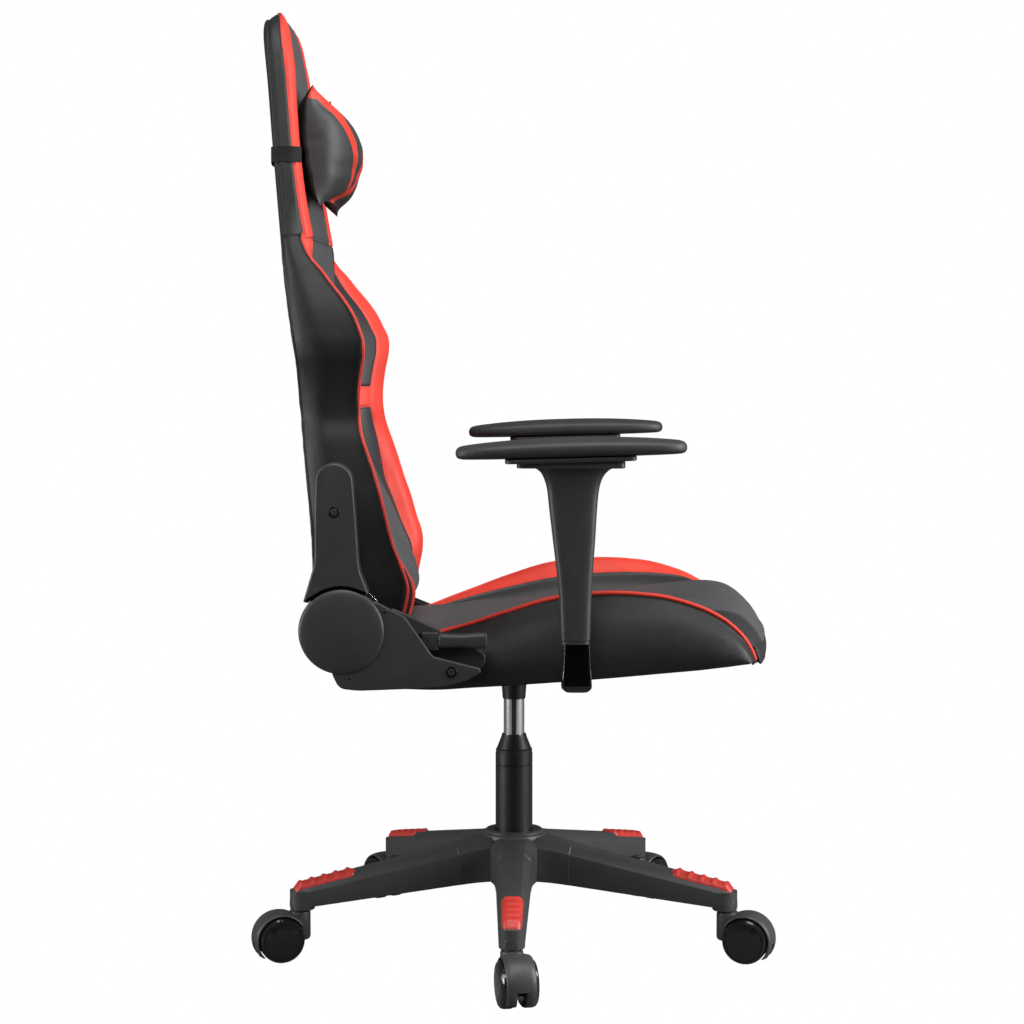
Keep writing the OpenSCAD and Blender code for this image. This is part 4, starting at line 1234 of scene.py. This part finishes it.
def camera():
    data = bpy.data.cameras.new("camera")
    data.lens = CAMERA_LENS
    data.sensor_width = 36
    data.clip_end = 50
    obj = bpy.data.objects.new("camera", data)
    level = math.cos(CAMERA_DOWN)
    ahead = Vector((math.cos(CAMERA_TURN) * level, math.sin(CAMERA_TURN) * level, -math.sin(CAMERA_DOWN)))
    aimed(obj, CAMERA_PLACE, ahead)
    bpy.context.scene.camera = obj


def lights():
    """Soft boxes, none of them seen by the camera."""
    for name, (place, aim, wide, high, power) in LIGHTS.items():
        data = bpy.data.lights.new(name, "AREA")
        data.shape = "RECTANGLE"
        data.size = wide
        data.size_y = high
        data.energy = power
        lamp = bpy.data.objects.new(name, data)
        aimed(lamp, place, Vector(aim) - Vector(place))
        lamp.visible_camera = False


def for_camera(tree, seen, otherwise):
    """A mix of two shaders' outputs: one for what the camera sees, and another for all other rays."""
    mix = tree.nodes.new("ShaderNodeMixShader")
    path = tree.nodes.new("ShaderNodeLightPath")
    tree.links.new(path.outputs["Is Camera Ray"], mix.inputs["Fac"])
    tree.links.new(otherwise, mix.inputs[1])
    tree.links.new(seen, mix.inputs[2])
    return mix.outputs[0]


def stage_piece(name, corners, look):
    """A flat four-sided piece of the studio, which isn't part of the chair."""
    obj = new_mesh(name, corners, [(0, 1, 2, 3)], [look], smooth=False)
    return obj


def studio():
    """A white room, bright to the camera and dim as a light, with a pale floor and two unseen dark cards.

    The cards darken what the chair reflects. One stands behind the camera, and one lies on the floor from
    there towards the chair."""
    world = bpy.data.worlds.new("studio")
    bpy.context.scene.world = world
    world.use_nodes = True
    tree = world.node_tree
    tree.nodes.clear()
    seen, lit = [add(tree, "ShaderNodeBackground", Color=(1, 1, 1, 1), Strength=strength).outputs[0]
                 for strength in (1.0, 0.12)]
    out = tree.nodes.new("ShaderNodeOutputWorld")
    tree.links.new(for_camera(tree, seen, lit), out.inputs["Surface"])

    look, tree, shader = material("floor", (0.16, 0.16, 0.16), 0.9, 0.1)
    glow = tree.nodes.new("ShaderNodeEmission")
    out = tree.nodes["Material Output"]
    tree.links.new(for_camera(tree, glow.outputs[0], shader.outputs[0]), out.inputs["Surface"])
    size = 14
    stage_piece("floor", [(-size, -size, 0), (size, -size, 0), (size, size, 0), (-size, size, 0)], look)

    card, _, _ = material("dark_card", (0.01, 0.01, 0.01), 0.9, 0.1)
    far = -4.2
    behind = [(far, -1.3, 0.02), (far, 1.3, 0.02), (far, 1.3, 2.6), (far, -1.3, 2.6)]
    below = [(far, -2.2, 0.004), (-0.7, -0.3, 0.004), (-0.7, 0.3, 0.004), (far, 2.2, 0.004)]
    dark = [stage_piece("dark_card", behind, card), stage_piece("dark_strip", below, card)]
    for obj in dark:
        obj.visible_camera = False
        obj.visible_shadow = False
    view = bpy.context.scene.view_settings
    view.view_transform = "Standard"
    view.look = "None"


CAD_LOOKS = {
    ("column_tube", "seat_plate", "seat_frame", "back_frame", "fasteners", "hinge_bracket",
     "recline_springs"): STEEL,
    ("gas_cylinder", "piston_rod", "rod_clip", "valve_pin", "thrust_bearing", "recline_pins",
     "castor"): CHROME,
    ("arm_bracket",): GLOSS_STEEL,
    ("arm_pad",): PAD,
    ("foot_grips",): FOOT_RED,
    ("seat_webbing", "head_strap"): CLOTH,
}


def cad_materials():
    """Gives every CAD node its finish, by the start of its name. The rest are moulded plastic."""
    for name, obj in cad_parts.items():
        look = next((found for starts, found in CAD_LOOKS.items() if name.startswith(starts)), PLASTIC)
        if name.startswith("castor") and "pins" not in name:
            look = WHEEL if "wheel" in name else PLASTIC
        obj.data.materials.clear()
        obj.data.materials.append(look)


camera()
lights()
studio()
cad_materials()
back_core()
for side_name, side_sign in (("right", -1), ("left", 1)):
    wing(side_name, side_sign)
seat()
under_cloth()
for side_name, side_sign in (("right", -1), ("left", 1)):
    hinge_covers(side_name, side_sign)
    arm_post(side_name, side_sign)
    arm_bracket(side_name, side_sign)
    arm_pad(side_name, side_sign)
recline_handle()
armrest_plates()
star()
grips()
for number in range(ARMS):
    castor(number)
pillow()
strap()
